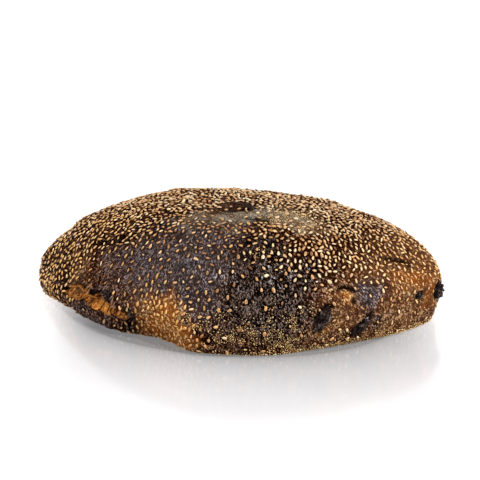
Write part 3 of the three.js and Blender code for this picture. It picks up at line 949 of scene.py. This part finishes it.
def streak_places(points, reach, climbed):
    """Where streaks are drawn: the direction from the middle, as a place on a ring that is drawn in where
    reach falls below 1, and the way up the slope, shortened so that noise is drawn out along it."""
    ring = STREAK_RING * reach[:, None] * unit(points[:, :2])
    return np.concatenate([ring, STREAK_CLIMB * climbed[:, None]], 1) * MM


columns = even_columns()
turns = even_turns(-90, 90, np.linspace(0, 1, ROWS + 1)[:-1])
wall = crust_surface(columns[None, :], turns[:, None])
shrink = np.linspace(0, 1, BASE_ROWS + 1)[1:-1, None, None]
crown = crust_surface(np.array([0.0]), np.array([LAST_TURN]))
skin = np.concatenate([np.zeros((1, 3)), (wall[0] * shrink).reshape(-1, 3), wall.reshape(-1, 3), crown])
crust = new_piece("crust", skin, closed_faces(ROWS + BASE_ROWS - 1, len(columns)), crust_material())
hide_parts("loaf")
for mask_name, mask in baking(skin).items():
    give_values(crust, mask_name, mask)

# %% Streaks on the crust
form = loaf_form(columns[None, :], turns[:, None])
form = np.concatenate([form[:1] * 0, form[0] * shrink, form])
climbed = np.cumsum(np.linalg.norm(np.diff(form, axis=0), axis=-1), axis=0)
climbed = np.concatenate([[0], climbed.ravel(), [climbed[-1].mean()]])
reach = np.minimum(np.linalg.norm(skin[:, :2], axis=1) / STREAK_CORE, 1)
reach[1:1 + shrink.size * len(columns)] = np.repeat(shrink, len(columns))
give_places(crust, "streak", streak_places(skin, reach, climbed))
print("way up the slope in mm:", round(float(climbed[-1]), 1))

# %% [markdown]
# ## Sesame seeds
#
# The dough was rolled in sesame before it was baked. A particle system could strew it, but an export drops
# particles, so every seed is mesh. Places are drawn at random and thinned until none is too close to
# another: close together on the top, the ends and the front foot, and far apart on the burnt front.

# %% Where the seeds lie
SEED_TRIES, SEED_TURNS = 120000, (-70, 89)
BAREST = 0.04  # nothing lies where the density is lower
RARE = 3  # where the density is below one part in this many, fewer places are tried as well
SEED_SPACING = 2.4  # mm between seeds where the density is 1
TORN_EDGES = (-1.4, -1.1), (1.2, 1.5)
CLEAR_OF_TOMATO, CLEAR_OF_BASE, CLEAR_OF_TABLE = (1.0, 1.5), (-75, -25), (1.0, 3.0)
BARE = [
    (222, 34, 20, 0.8), (240, 40, 22, 0.78), (262, 46, 22, 0.8), (246, 62, 16, 0.4), (272, 66, 18, 0.1),
    (283, 44, 20, 0.75), (292, 26, 22, 0.82), (306, 20, 22, 0.8), (318, 20, 16, 0.75),
    (328, 10, 16, 0.9), (215, 72, 18, 0.15), (345, 70, 16, 0.2), (340, 6, 18, 0.95),
    (348, -12, 20, 0.98), (335, -25, 20, 0.98), (357, -30, 18, 0.95), (284, 6, 18, 0.6),
    (300, 0, 18, 0.7), (313, -15, 18, 0.85), (290, -35, 22, 0.8), (217, 20, 12, 0.8), (228, 25, 10, 0.6),
    (222, -20, 32, 0.995), (192, 20, 30, 0.35), (30, 5, 26, 0.8), (55, 18, 26, 0.75), (85, 5, 28, 0.85),
    (110, 28, 24, 0.75), (135, 8, 28, 0.85), (158, 24, 22, 0.6), (72, 46, 20, 0.6), (128, 52, 18, 0.5),
    (40, 42, 18, 0.5), (176, -10, 20, 0.7), (14, -12, 24, 0.9), (165, -15, 20, 0.8), (110, -25, 24, 0.8),
    (55, -25, 24, 0.85), (338, 57, 7, 0.3), (347, 47, 8, 0.4), (231, 78, 7, 0.8), (252, 81.5, 7, 0.9),
    (269, 80.5, 7, 0.9), (284, 79.5, 7, 0.9), (298, 79, 7, 0.9), (311, 79.5, 7, 0.9), (323, 80, 7, 0.85),
    (250, 86.8, 6, 0.9), (290, 87, 6.5, 0.95), (325, 87.2, 6, 0.9), (330, 75, 9, 0.85),
    (340, 76, 8, 0.8), (335, 68, 7, 0.7), (345, 83, 6, 0.5), (293, 62, 5, 0.95), (304, 59.5, 7, 0.95),
    (316, 60, 7, 0.5),
]
SEEDED = [
    (208, 47, 9, 0.8), (213, 53, 9, 0.8), (218, 58, 9, 0.6), (270, 62, 10, 0.7), (256, 58, 9, 0.5),
    (285, 70, 10, 0.7), (300, 70, 10, 0.7), (247, 27, 11, 0.5), (256, 23, 11, 0.5), (257, 8, 10, 1.0),
    (266, 6, 10, 0.9), (268, -10, 9, 0.7), (256, -12, 8, 0.8), (300, 53, 12, 0.5), (312, 50, 12, 0.6),
    (194, -15, 9, 0.9), (343, 24, 12, 0.5), (348, 16, 11, 0.5), (353, 8, 11, 0.5),
]
CROWDED = [(347, 48, 28, 0.35), (215, 66, 16, 0.2)]
random = np.random.default_rng(27)


def seed_density(points, turn):
    """How closely seeds lie: 1 less the bare spots, or as the seeded spots say, more where they are crowded,
    and none in openings or close to the table."""
    dense = np.maximum(1 - near_spots(points, BARE), near_spots(points, SEEDED))
    dense = dense * (1 + near_spots(points, CROWDED))
    opened, across = seam_place(points)
    dense = dense * (1 - opened * plateau(across, *TORN_EDGES))
    dense = dense * smooth_step(tomato_distance(points), *CLEAR_OF_TOMATO)
    return dense * smooth_step(turn, *CLEAR_OF_BASE) * smooth_step(points[..., 2], *CLEAR_OF_TABLE)


def thinned(points, spacing):
    """Numbers of the points that are kept when each kept point clears all others within its spacing."""
    tree = KDTree(len(points))
    for number, point in enumerate(points):
        tree.insert(point, number)
    tree.balance()
    waiting = np.ones(len(points), bool)
    kept = []
    for number, point in enumerate(points):
        if waiting[number]:
            kept.append(number)
            waiting[[near for _, near, _ in tree.find_range(point, spacing[number])]] = False
    return np.array(kept)


def strewn(tries, turn_range, density, spacing):
    """Angles and turns of thinned random places between two turns, tried evenly over the crust and less often
    where it is bare."""
    angle = random.uniform(0, 360, tries)
    turn = even_turns(*turn_range, random.uniform(0, 1, tries))
    points = loaf_form(angle, turn)
    radius = np.hypot(points[:, 0], points[:, 1])
    dense = density(points, turn)
    chosen = random.uniform(0, radius.max(), tries) < radius * np.clip(dense * RARE, 0, 1)
    chosen = chosen & (dense > BAREST)
    kept = thinned(points[chosen], spacing / np.sqrt(dense[chosen]))
    return angle[chosen][kept], turn[chosen][kept]


seed_angle, seed_turn = strewn(SEED_TRIES, SEED_TURNS, seed_density, SEED_SPACING)
seed_places = loaf_form(seed_angle, seed_turn)
print("seeds:", len(seed_angle))

# %% Seed shape
SEED_SIZE = (1.85, 2.9, 1.0)  # mm: width, length, thickness
SEED_TAPER = 0.3
SEED_SIDES, SEED_RINGS = 6, 3


def seed_template():
    """A flat drop: an ellipsoid whose width shrinks towards one end, as rings between two end points."""
    rings = np.radians(np.linspace(0, 180, SEED_RINGS + 2)[1:-1])[:, None]
    round_ = np.radians(np.linspace(90, 450, SEED_SIDES, endpoint=False))[None, :]
    along = np.cos(rings) * np.ones_like(round_)
    width = np.sin(rings) * (1 - SEED_TAPER * along)
    body = np.stack([width * np.cos(round_), along, np.sin(rings) * np.sin(round_)], -1).reshape(-1, 3)
    ends = np.array([[0, 1.0, 0], [0, -1.0, 0]])
    return np.concatenate([ends[:1], body, ends[1:]]) * np.array(SEED_SIZE) / 2


def triangles(rows, columns):
    """The faces of a closed grid, each four-sided one split in two."""
    faces = closed_faces(rows, columns)
    return [[face[0], face[i], face[i + 1]] for face in faces for i in range(1, len(face) - 1)]


def copies(template, faces, centres, axes, sizes):
    """Many copies of a template: each point is its centre plus its three axes weighted by the template."""
    local = template[None] * sizes[:, None, :]
    points = centres[:, None, :] + np.einsum("spk,skc->spc", local, axes)
    starts = len(template) * np.arange(len(centres))
    return points.reshape(-1, 3), (np.array(faces)[None] + starts[:, None, None]).reshape(-1, 3).tolist()


template = seed_template()
print("a seed:", len(template), "points,", len(triangles(SEED_RINGS, SEED_SIDES)), "triangles")

# %% [markdown]
# ## How the seeds lie
#
# Rolling and stretching combed the seeds: on the walls many point up the slope, and on the crown many lie
# along the loaf in shallow arcs. Each could be turned by hand. Here a share of them takes the direction of
# its place, the others are turned at random, and all are tipped a little.

# %% Directions of seeds
FAN_REACH = 120.0  # mm in front of the crown: the middle of the arcs along which its seeds lie
COMB_SPREAD = 0.35  # radians
CROWN_TURN, CROWN_RAGGED, CROWN_SPAN = 66, 14, 9.0  # degrees, degrees and mm: where the crown's fan begins
CROWN_COMBED, LEAST_COMBED, MORE_COMBED = 0.5, 0.2, 0.7
SEED_TILT = 0.16
COMBED = [
    (235, 35, 48, 0.95), (262, 5, 22, 0.8), (352, 20, 34, 0.9), (195, 10, 30, 0.8), (210, 55, 40, 0.9),
    (345, 50, 30, 0.7),
]


def lying(angle, turn, tilt, aligned=0.0, lengthwise=False):
    """Axes of things that lie on the crust: a share of them, aligned, point up the slope, or along the loaf
    where they are lengthwise."""
    points, around, upslope, outward = surface_frame(crust_surface, angle, turn)
    fan = np.stack([np.ones(len(points)), -points[:, 0] / FAN_REACH, np.zeros(len(points))], -1)
    heading = np.arctan2(-(around * fan).sum(-1), (upslope * fan).sum(-1))
    heading = np.where(lengthwise, heading, 0.0)
    free = random.uniform(0, 1, len(angle)) > aligned
    combed_twist = heading + random.normal(0, COMB_SPREAD, len(angle))
    twist = np.where(free, random.uniform(0, 2 * np.pi, len(angle)), combed_twist)[:, None]
    tip = random.normal(0, tilt, (len(angle), 2))
    out = unit(outward + tip[:, :1] * around + tip[:, 1:] * upslope)
    across = np.cos(twist) * around + np.sin(twist) * upslope
    across = unit(across - (across * out).sum(-1, keepdims=True) * out)
    return points, np.stack([across, np.cross(out, across), out], 1)


on_crown = seed_turn > CROWN_TURN + CROWN_RAGGED * lattice_noise(seed_places, CROWN_SPAN, shift=40)
combed = np.where(on_crown, CROWN_COMBED, LEAST_COMBED + MORE_COMBED * near_spots(seed_places, COMBED))
seed_centres, seed_axes = lying(seed_angle, seed_turn, SEED_TILT, combed, on_crown)
print("seeds on the crown:", int(on_crown.sum()))

# %% [markdown]
# ## The seeds' finish
#
# Sesame is cream when raw, golden when toasted and brown where it burnt. One material serves all: each seed
# stores how far it toasted, drawn at random about what the crust beneath it did, and how golden the place is.
# Some seeds are browner on top; the others are browner on their sides, partly toasting and partly painted
# shade. The crust stores how near a seed is, because a painted shadow darkens it round each seed.

# %% Toasted materials
TOAST_UNEVEN, TOAST_HALFWAY, TOAST_GAIN = 0.3, 0.5, 2.0
GILDING = 0.85
TOAST_BUMP, TOAST_BUMP_STRENGTH = 0.0003, 0.7


def toasted_material(name, raw, toasted, scorched, golden, roughness):
    """Three colours along the stored toasting, mottled, with a golden one where that is stored."""
    material, tree, surface = new_material(name)
    small = placed(tree, MOTTLE, "Mask", Scale=900.0, Contrast=1.6)
    paler = maths(tree, "SUBTRACT", stored(tree, "toast"), TOAST_UNEVEN / 2)
    amount = scaled(tree, small, TOAST_UNEVEN, paler)
    shade = blend(tree, risen(tree, amount, 0.0, TOAST_GAIN), colour(raw), colour(toasted))
    shade = blend(tree, risen(tree, amount, TOAST_HALFWAY, TOAST_GAIN), shade, colour(scorched))
    shade = blend(tree, scaled(tree, stored(tree, "gold"), GILDING), shade, colour(golden))
    height = placed(tree, GRAIN, "Height", Scale=1200.0, Fine=0.7)
    end_with(tree, surface, Base_Color=shade, Roughness=roughness, Specular_IOR_Level=0.5,
             Normal=bumped(tree, height, TOAST_BUMP, TOAST_BUMP_STRENGTH))
    return material


# %% Seeds
SEED_UNEVEN, SIDE_UNEVEN = 0.1, 0.09  # spreads of a seed's size, and of each of its three sides
SLENDERNESS = 0.4
SEED_LIFT, SEED_LIFT_SPREAD = 0.1, 0.1  # mm
TOAST_MIDDLE, TOAST_SPREAD, PALER, BROWNER = 0.27, 0.18, 0.2, 0.22
BURNT_SHARE, BURNT_MORE = 0.1, 0.35
RING_GAIN, RING_DEPTH = 1.8, (0.05, 0.5)
GOLD_RANGE = (0.5, 1.0)
PALE = [
    (318, 48, 34, 0.7), (335, 50, 30, 0.8), (90, 80, 50, 0.5), (303, 12, 12, 0.3), (220, 64, 22, 0.6),
    (213, 50, 16, 0.6),
]
BROWNED = [(240, 45, 30, 1.0), (270, 60, 30, 0.9), (222, 30, 20, 0.8), (290, 70, 18, 0.8)]
GILDED = [
    (262, 4, 18, 1.0), (250, 22, 16, 0.7), (205, 15, 20, 0.6), (194, -5, 16, 0.7), (205, 50, 26, 0.5),
    (192, 25, 24, 0.7), (348, 18, 28, 0.7), (5, 15, 24, 0.4), (228, 36, 20, 0.5),
]
SLENDER = [
    (225, 40, 45, 1.0), (270, 60, 24, 0.6), (195, 15, 30, 0.9), (352, 15, 30, 0.9), (262, 10, 20, 0.5),
    (100, 75, 50, 0.6), (345, 48, 34, 0.8),
]
RINGED = [(300, 5, 40, 0.9), (268, 40, 34, 0.7), (315, 45, 30, 0.4)]
count = len(seed_centres)
sizes = random.normal(1.0, SEED_UNEVEN, (count, 1)) * random.normal(1.0, SIDE_UNEVEN, (count, 3))
sizes[:, 0] = sizes[:, 0] * (1 - SLENDERNESS * near_spots(seed_places, SLENDER))
lift = random.normal(SEED_LIFT, SEED_LIFT_SPREAD, (count, 1))
seed_points, seed_faces = copies(template, triangles(SEED_RINGS, SEED_SIDES),
                                 seed_centres + lift * seed_axes[:, 2], seed_axes, sizes)
seeds = new_piece("sesame_seeds", seed_points, seed_faces, toasted_material(
    "sesame", "#f8e0b4", "#d69f64", "#6a3012", "#ffc26a", 0.36))
toast = TOAST_MIDDLE - PALER * near_spots(seed_places, PALE) + BROWNER * near_spots(seed_places, BROWNED)
toast = toast + random.normal(0, TOAST_SPREAD, count)
toast = np.where(random.uniform(0, 1, count) < BURNT_SHARE, toast + BURNT_MORE, toast)
browner_on_top = random.uniform(0, 1, count) < near_spots(seed_places, RINGED)
on_top = np.maximum(template[:, 2] / template[:, 2].max(), 0) ** 2
# Seeds with a browner spot on top toast more there; the others toast more away from their tops, partly real
# toasting and partly painted shade on their sides.
ring = np.where(browner_on_top[:, None], RING_GAIN * on_top, 1 - on_top)
ring = ring * random.uniform(*RING_DEPTH, count)[:, None]
give_values(seeds, "toast", np.clip(toast[:, None] + ring, 0, 1))
gold = near_spots(seed_places, GILDED) * random.uniform(*GOLD_RANGE, count)
give_values(seeds, "gold", np.repeat(gold, len(template)))

# %% Painted shadows round the seeds
SEED_SHADOW_REACH, SEED_SHADOW_EDGE = 1.9, 4
SECTOR = 5.0  # degrees
FAR = 99.0  # mm, beyond any seat


def nearest_seed(points):
    """The distance to the nearest seed, found sector by sector round the loaf with one array of distances
    each."""
    nearest = np.full(len(points), FAR)
    round_ = np.degrees(np.arctan2(points[:, 1], points[:, 0]))
    seed_round = np.degrees(np.arctan2(seed_centres[:, 1], seed_centres[:, 0]))
    for start in np.arange(-180, 180, SECTOR):
        inside = (round_ >= start) & (round_ < start + SECTOR)
        near = np.abs((seed_round - start - SECTOR / 2 + 180) % 360 - 180) < SECTOR
        offset = points[inside][:, None] - seed_centres[near][None]
        nearest[inside] = np.sqrt((offset**2).sum(-1).min(1, initial=FAR))
    return nearest


# A painted shadow: the crust is darkened within a couple of millimetres of each seed.
seed_shadow = np.exp(-((nearest_seed(skin) / SEED_SHADOW_REACH) ** SEED_SHADOW_EDGE))
give_values(crust, "seed_shadow", seed_shadow)
print("share of the crust in seats:", round(float(seed_shadow.mean()), 2))

# %% [markdown]
# ## Semolina
#
# The peel was dusted with semolina, and its coarse grains stick to the foot of the loaf and to a floury
# patch beside the crown. They are too fine to model by hand and too sharp for a bump map, so they are
# small eight-sided grains, strewn like the seeds.

# %% Semolina grains
UPPER_TRIES, UPPER_TURNS = 200000, (20, 89)
LOWER_TRIES, LOWER_TURNS = 300000, (-86, 20)
GRAIN_SIZE, GRAIN_SPACING, GRAIN_RANGE, GRAIN_TILT = 0.9, 0.7, (0.4, 1.4), 0.5
FOOT_TURN, FOOT_GROWTH = -50, 1.2  # grains below this turn are larger
GRAIN_TOAST, GRAIN_TOAST_SPREAD = 0.3, 0.22
CLUSTER_LEAST, CLUSTER_GAIN, CLUSTER_SPAN = 0.14, 1.2, 3.2
BAND_DENSITY, BAND_TURNS, BAND_HEIGHT = 0.7, (50, 66), (0.2, 0.6)
CHARRED_FOOT = [(222, -60, 42, 1.0)]
DUSTED = [
    (257, 4, 12, 0.7), (268, -5, 12, 0.8), (279, -8, 14, 0.9), (288, -18, 14, 0.95),
    (297, -25, 14, 0.95), (305, -32, 13, 0.9), (313, -38, 12, 0.9), (321, -46, 11, 0.9),
    (329, -58, 10, 0.9), (337, -68, 8, 0.9), (344, -75, 7, 0.9), (351, -78, 6, 0.9), (194, -30, 9, 0.8),
    (272, 4, 9, 0.5), (282, 8, 10, 0.45), (292, 6, 10, 0.5), (302, 2, 10, 0.5), (311, -4, 9, 0.45),
    (316, -10, 12, 0.5), (299, 55.5, 5, 0.9), (328, 76, 9, 0.9), (340, 75, 10, 0.9), (334, 67, 8, 0.9),
]


def dusting(points, turn):
    """How closely the grains lie: near the dusted spots, in clusters, and in a band where the foot meets the
    table, all round but for the charred side."""
    clusters = CLUSTER_GAIN * layered_noise(points, CLUSTER_SPAN, layers=2, shift=30)
    clusters = np.clip(CLUSTER_LEAST + clusters, 0, 1)
    band = BAND_DENSITY * smooth_step(-turn, *BAND_TURNS) * (1 - near_spots(points, CHARRED_FOOT))
    return np.maximum(near_spots(points, DUSTED) * clusters, band) * smooth_step(points[..., 2], *BAND_HEIGHT)


above = strewn(UPPER_TRIES, UPPER_TURNS, dusting, GRAIN_SPACING)
below = strewn(LOWER_TRIES, LOWER_TURNS, dusting, GRAIN_SPACING)
grain_angle, grain_turn = np.concatenate([above, below], axis=1)
print("grains high up and low down:", len(above[0]), len(below[0]))
grain_centres, grain_axes = lying(grain_angle, grain_turn, GRAIN_TILT)
octahedron = np.concatenate([np.eye(3), -np.eye(3)])[[0, 3, 1, 4, 2, 5]] * GRAIN_SIZE / 2
corners = np.array([(x, y, z) for x in (0, 1) for y in (2, 3) for z in (4, 5)])
octahedron_faces = np.where(corners.sum(1, keepdims=True) % 2 == 0, corners, corners[:, [0, 2, 1]])
sizes = random.uniform(*GRAIN_RANGE, (len(grain_centres), 3))
sizes = sizes * np.where(grain_turn < FOOT_TURN, FOOT_GROWTH, 1.0)[:, None]
grain_points, grain_faces = copies(octahedron, octahedron_faces, grain_centres, grain_axes, sizes)
grains = new_piece("semolina_grains", grain_points, grain_faces, toasted_material(
    "semolina", "#f8dca0", "#d09c50", "#744a22", "#cf8a34", 0.7))
toast = np.clip(random.normal(GRAIN_TOAST, GRAIN_TOAST_SPREAD, len(grain_centres)), 0, 1)
give_values(grains, "toast", np.repeat(toast, len(octahedron)))
give_values(grains, "gold", np.zeros(len(grain_points)))

# %% [markdown]
# ## Burnt tomato
#
# Each end of tomato shrivelled into a folded black lump with a dull gloss. It could be sculpted from a ball.
# Here a sphere's radius rises and falls with a few sine folds that wind along it, and with sharp creases, so
# that each piece differs by its own start.

# %% Tomato material
TOMATO_BLACK, TOMATO_BROWN = colour("#030202"), colour("#241410")
TOMATO_DUST, TOMATO_LIT_TOP, TOMATO_GLINT = colour("#5c443c"), colour("#8a7a72"), colour("#a0958f")
DUST_SHARE, DULL_SHARE, DULL_LEAST = 0.3, 0.3, 0.35
GLOSSY_DOME, TOMATO_BUMP = 0.6, 0.0012


def tomato_material():
    """Nearly black, brown in patches and dusty in specks, with a grey top that is painted light, and painted
    silver highlights and a dull gloss along thin lines on its crests."""
    material, tree, surface = new_material("burnt_tomato")
    small = placed(tree, MOTTLE, "Mask", Scale=260.0, Contrast=3.5, Middle=0.54)
    fine = placed(tree, MOTTLE, "Mask", Scale=800.0, Contrast=5.0, Middle=0.56)
    dome = placed(tree, FINE_BLISTERS, "Dome", Scale=420.0)
    line = placed(tree, WRINKLES, "Line", Scale=330.0, Width=0.04)
    height = placed(tree, GRAIN, "Height", Scale=400.0, Fine=0.3)
    # Painted light: the top of each lump turns grey, and thin lines on its crests silver as painted
    # highlights.
    lit_top = maths(tree, "MULTIPLY", maths(tree, "MULTIPLY", small, fine), stored(tree, "top"))
    crest = maths(tree, "MULTIPLY", line, stored(tree, "crest"))
    gloss = maths(tree, "MULTIPLY", maths(tree, "SUBTRACT", dome, GLOSSY_DOME), crest, clamp=True)
    shade = blend(tree, small, TOMATO_BLACK, TOMATO_BROWN)
    shade = blend(tree, scaled(tree, fine, DUST_SHARE), shade, TOMATO_DUST)
    shade = blend(tree, lit_top, shade, TOMATO_LIT_TOP)
    end_with(
        tree, surface, Base_Color=blend(tree, crest, shade, TOMATO_GLINT),
        Roughness=scaled(tree, fine, DULL_SHARE, DULL_LEAST), Specular_IOR_Level=0.04,
        Normal=bumped(tree, maths(tree, "ADD", height, dome), TOMATO_BUMP), Coat_Weight=gloss,
        Coat_Roughness=0.2)
    return material


# %% Tomato lumps
TOMATO_WRINKLE, TOMATO_FOLDS, TOMATO_TWIST = 0.07, 3, 2.0
CREASE_DEPTH, CREASE_SPAN, CREASE_SPREAD = 0.3, 0.5, 0.2
TATTER_DEPTH, TATTER_SPAN = 0.34, 0.55
LUMP_RADIUS, LUMP_WAIST = 0.95, 0.1
LUMP_TOP, LUMP_CREST = (0.55, 0.95), (0.02, 0.3)
LUMP_SIDES, LUMP_RINGS = 64, 40
BURNT_TOMATO = tomato_material()


def tomato_lump(angle, turn, size, twist, proud):
    """A unit sphere with folds that wind along it, sharp creases and a tattered edge, scaled to its size and
    set in the crust. For each point: its place, how far it was raised, and how near the top it is."""
    rings = np.radians(np.linspace(0, 180, LUMP_RINGS + 2))[:, None]
    round_ = np.radians(np.linspace(0, 360, LUMP_SIDES, endpoint=False))[None, :]
    y = np.cos(rings) * np.ones_like(round_)
    ball = np.stack([np.sin(rings) * np.cos(round_), y, np.sin(rings) * np.sin(round_)], -1)
    fold = TOMATO_WRINKLE * np.sin(TOMATO_FOLDS * round_ + TOMATO_TWIST * y + angle)
    winding = layered_noise(ball, CREASE_SPAN, layers=2, shift=int(angle))
    crease = CREASE_DEPTH * hump(winding, 0, CREASE_SPREAD)
    tatters = TATTER_DEPTH * layered_noise(ball, TATTER_SPAN, layers=2, shift=int(angle) + 3)
    uneven = (fold - crease) * (1 - y**2) + tatters
    top = smooth_step(ball[..., 2], *LUMP_TOP)
    ball = ball * (LUMP_RADIUS + LUMP_WAIST * (1 - y**2) + uneven)[..., None]
    middle, axes = tomato_frame(angle, turn, twist)
    points = middle + axes[2] * (proud - size[2] / 2) + ball * np.array(size) / 2 @ axes
    grid = np.concatenate([points, uneven[..., None], top[..., None]], -1)
    rows = np.concatenate([grid[0, :1], grid[1:-1].reshape(-1, 5), grid[-1, :1]])
    return rows[:, :3], rows[:, 3], rows[:, 4]


for place, values in TOMATO.items():
    lump_points, uneven, top = tomato_lump(*values)
    lump = new_piece(f"burnt_tomato_{place}", lump_points, closed_faces(LUMP_RINGS, LUMP_SIDES),
                     BURNT_TOMATO)
    give_values(lump, "crest", smooth_step(uneven, *LUMP_CREST))
    give_values(lump, "top", top)
    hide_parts(f"tomato_{place}")

# %% [markdown]
# ## The table
#
# The loaf stands on a white, polished table top that is lit from below and wide enough to fill the picture.
# It is part of the studio and not of the loaf. A plain white plane would do, but one that glows less close
# to the loaf paints a soft shadow round its foot, and lets its reflection show there and fade out farther
# off.

# %% Floor
FLOOR_HALF = 6.0
# The glow falls to its near value round the loaf's foot as a painted shadow.
GLOW_NEAR, GLOW_FAR = 0.2, 0.98  # close to the loaf and farther off
GLOW_SPAN = (0.118, 0.088, 1.0)  # half sizes of the loaf's foot, in metres
GLOW_FADE, GLOW_POWER = (0.95, 2.2), 0.42  # where the dimness starts and ends, in those half sizes
GLOW_TURN = math.radians(15.3)  # the dim patch is turned this far round from the loaf's length
GLOW_MIDDLE, GLOW_SIDES = 0.01, (0.088, 0.145)  # metres: its middle, and where it ends on both sides of that
TABLE_GLOW = (1.0, 0.985, 1.0, 1.0)
TABLE_BASE = (0.08, 0.08, 0.082, 1.0)  # dark under its glow, so that the reflection shows


def ranged(tree, value, low, high, first=0.0, last=1.0, way="LINEAR"):
    """A number carried from one range to another, and held at its ends."""
    inputs = {"Value": value, "From Min": low, "From Max": high, "To Min": first, "To Max": last}
    return add_node(tree, "ShaderNodeMapRange", inputs, interpolation_type=way).outputs["Result"]


def table_material():
    """A polished skin that glows from below: dim in an ellipse round the loaf's foot that is cut off on both
    sides, a painted shadow there, and bright beyond."""
    material, tree, surface = new_material("white_table")
    here = add_node(tree, "ShaderNodeTexCoord").outputs["Object"]
    feet = add_node(tree, "ShaderNodeVectorMath", {0: here, 1: GLOW_SPAN}, operation="DIVIDE")
    far = add_node(tree, "ShaderNodeVectorMath", {0: feet.outputs[0]}, operation="LENGTH").outputs["Value"]
    sideways = (math.cos(GLOW_TURN), math.sin(GLOW_TURN), 0.0)
    side = add_node(tree, "ShaderNodeVectorMath", {0: here, 1: sideways}, operation="DOT_PRODUCT")
    beside = maths(tree, "ABSOLUTE", maths(tree, "SUBTRACT", side.outputs["Value"], GLOW_MIDDLE))
    dim = maths(tree, "SUBTRACT", 1.0, maths(tree, "POWER", ranged(tree, far, *GLOW_FADE), GLOW_POWER))
    dim = maths(tree, "MULTIPLY", dim, ranged(tree, beside, *GLOW_SIDES, 1.0, 0.0, "SMOOTHSTEP"))
    end_with(tree, surface, Base_Color=TABLE_BASE, Roughness=0.14, Specular_IOR_Level=1.0, IOR=1.8,
             Emission_Color=TABLE_GLOW, Emission_Strength=ranged(tree, dim, 0.0, 1.0, GLOW_FAR, GLOW_NEAR))
    return material


floor_mesh = bpy.data.meshes.new("floor")
floor_corners = [(x * FLOOR_HALF, y * FLOOR_HALF, 0) for x, y in ((-1, -1), (1, -1), (1, 1), (-1, 1))]
floor_mesh.from_pydata(floor_corners, [], [(0, 1, 2, 3)])
floor_mesh.materials.append(table_material())
floor = bpy.data.objects.new("floor", floor_mesh)
scene.collection.objects.link(floor)
print("table:", 2 * FLOOR_HALF, "m wide")
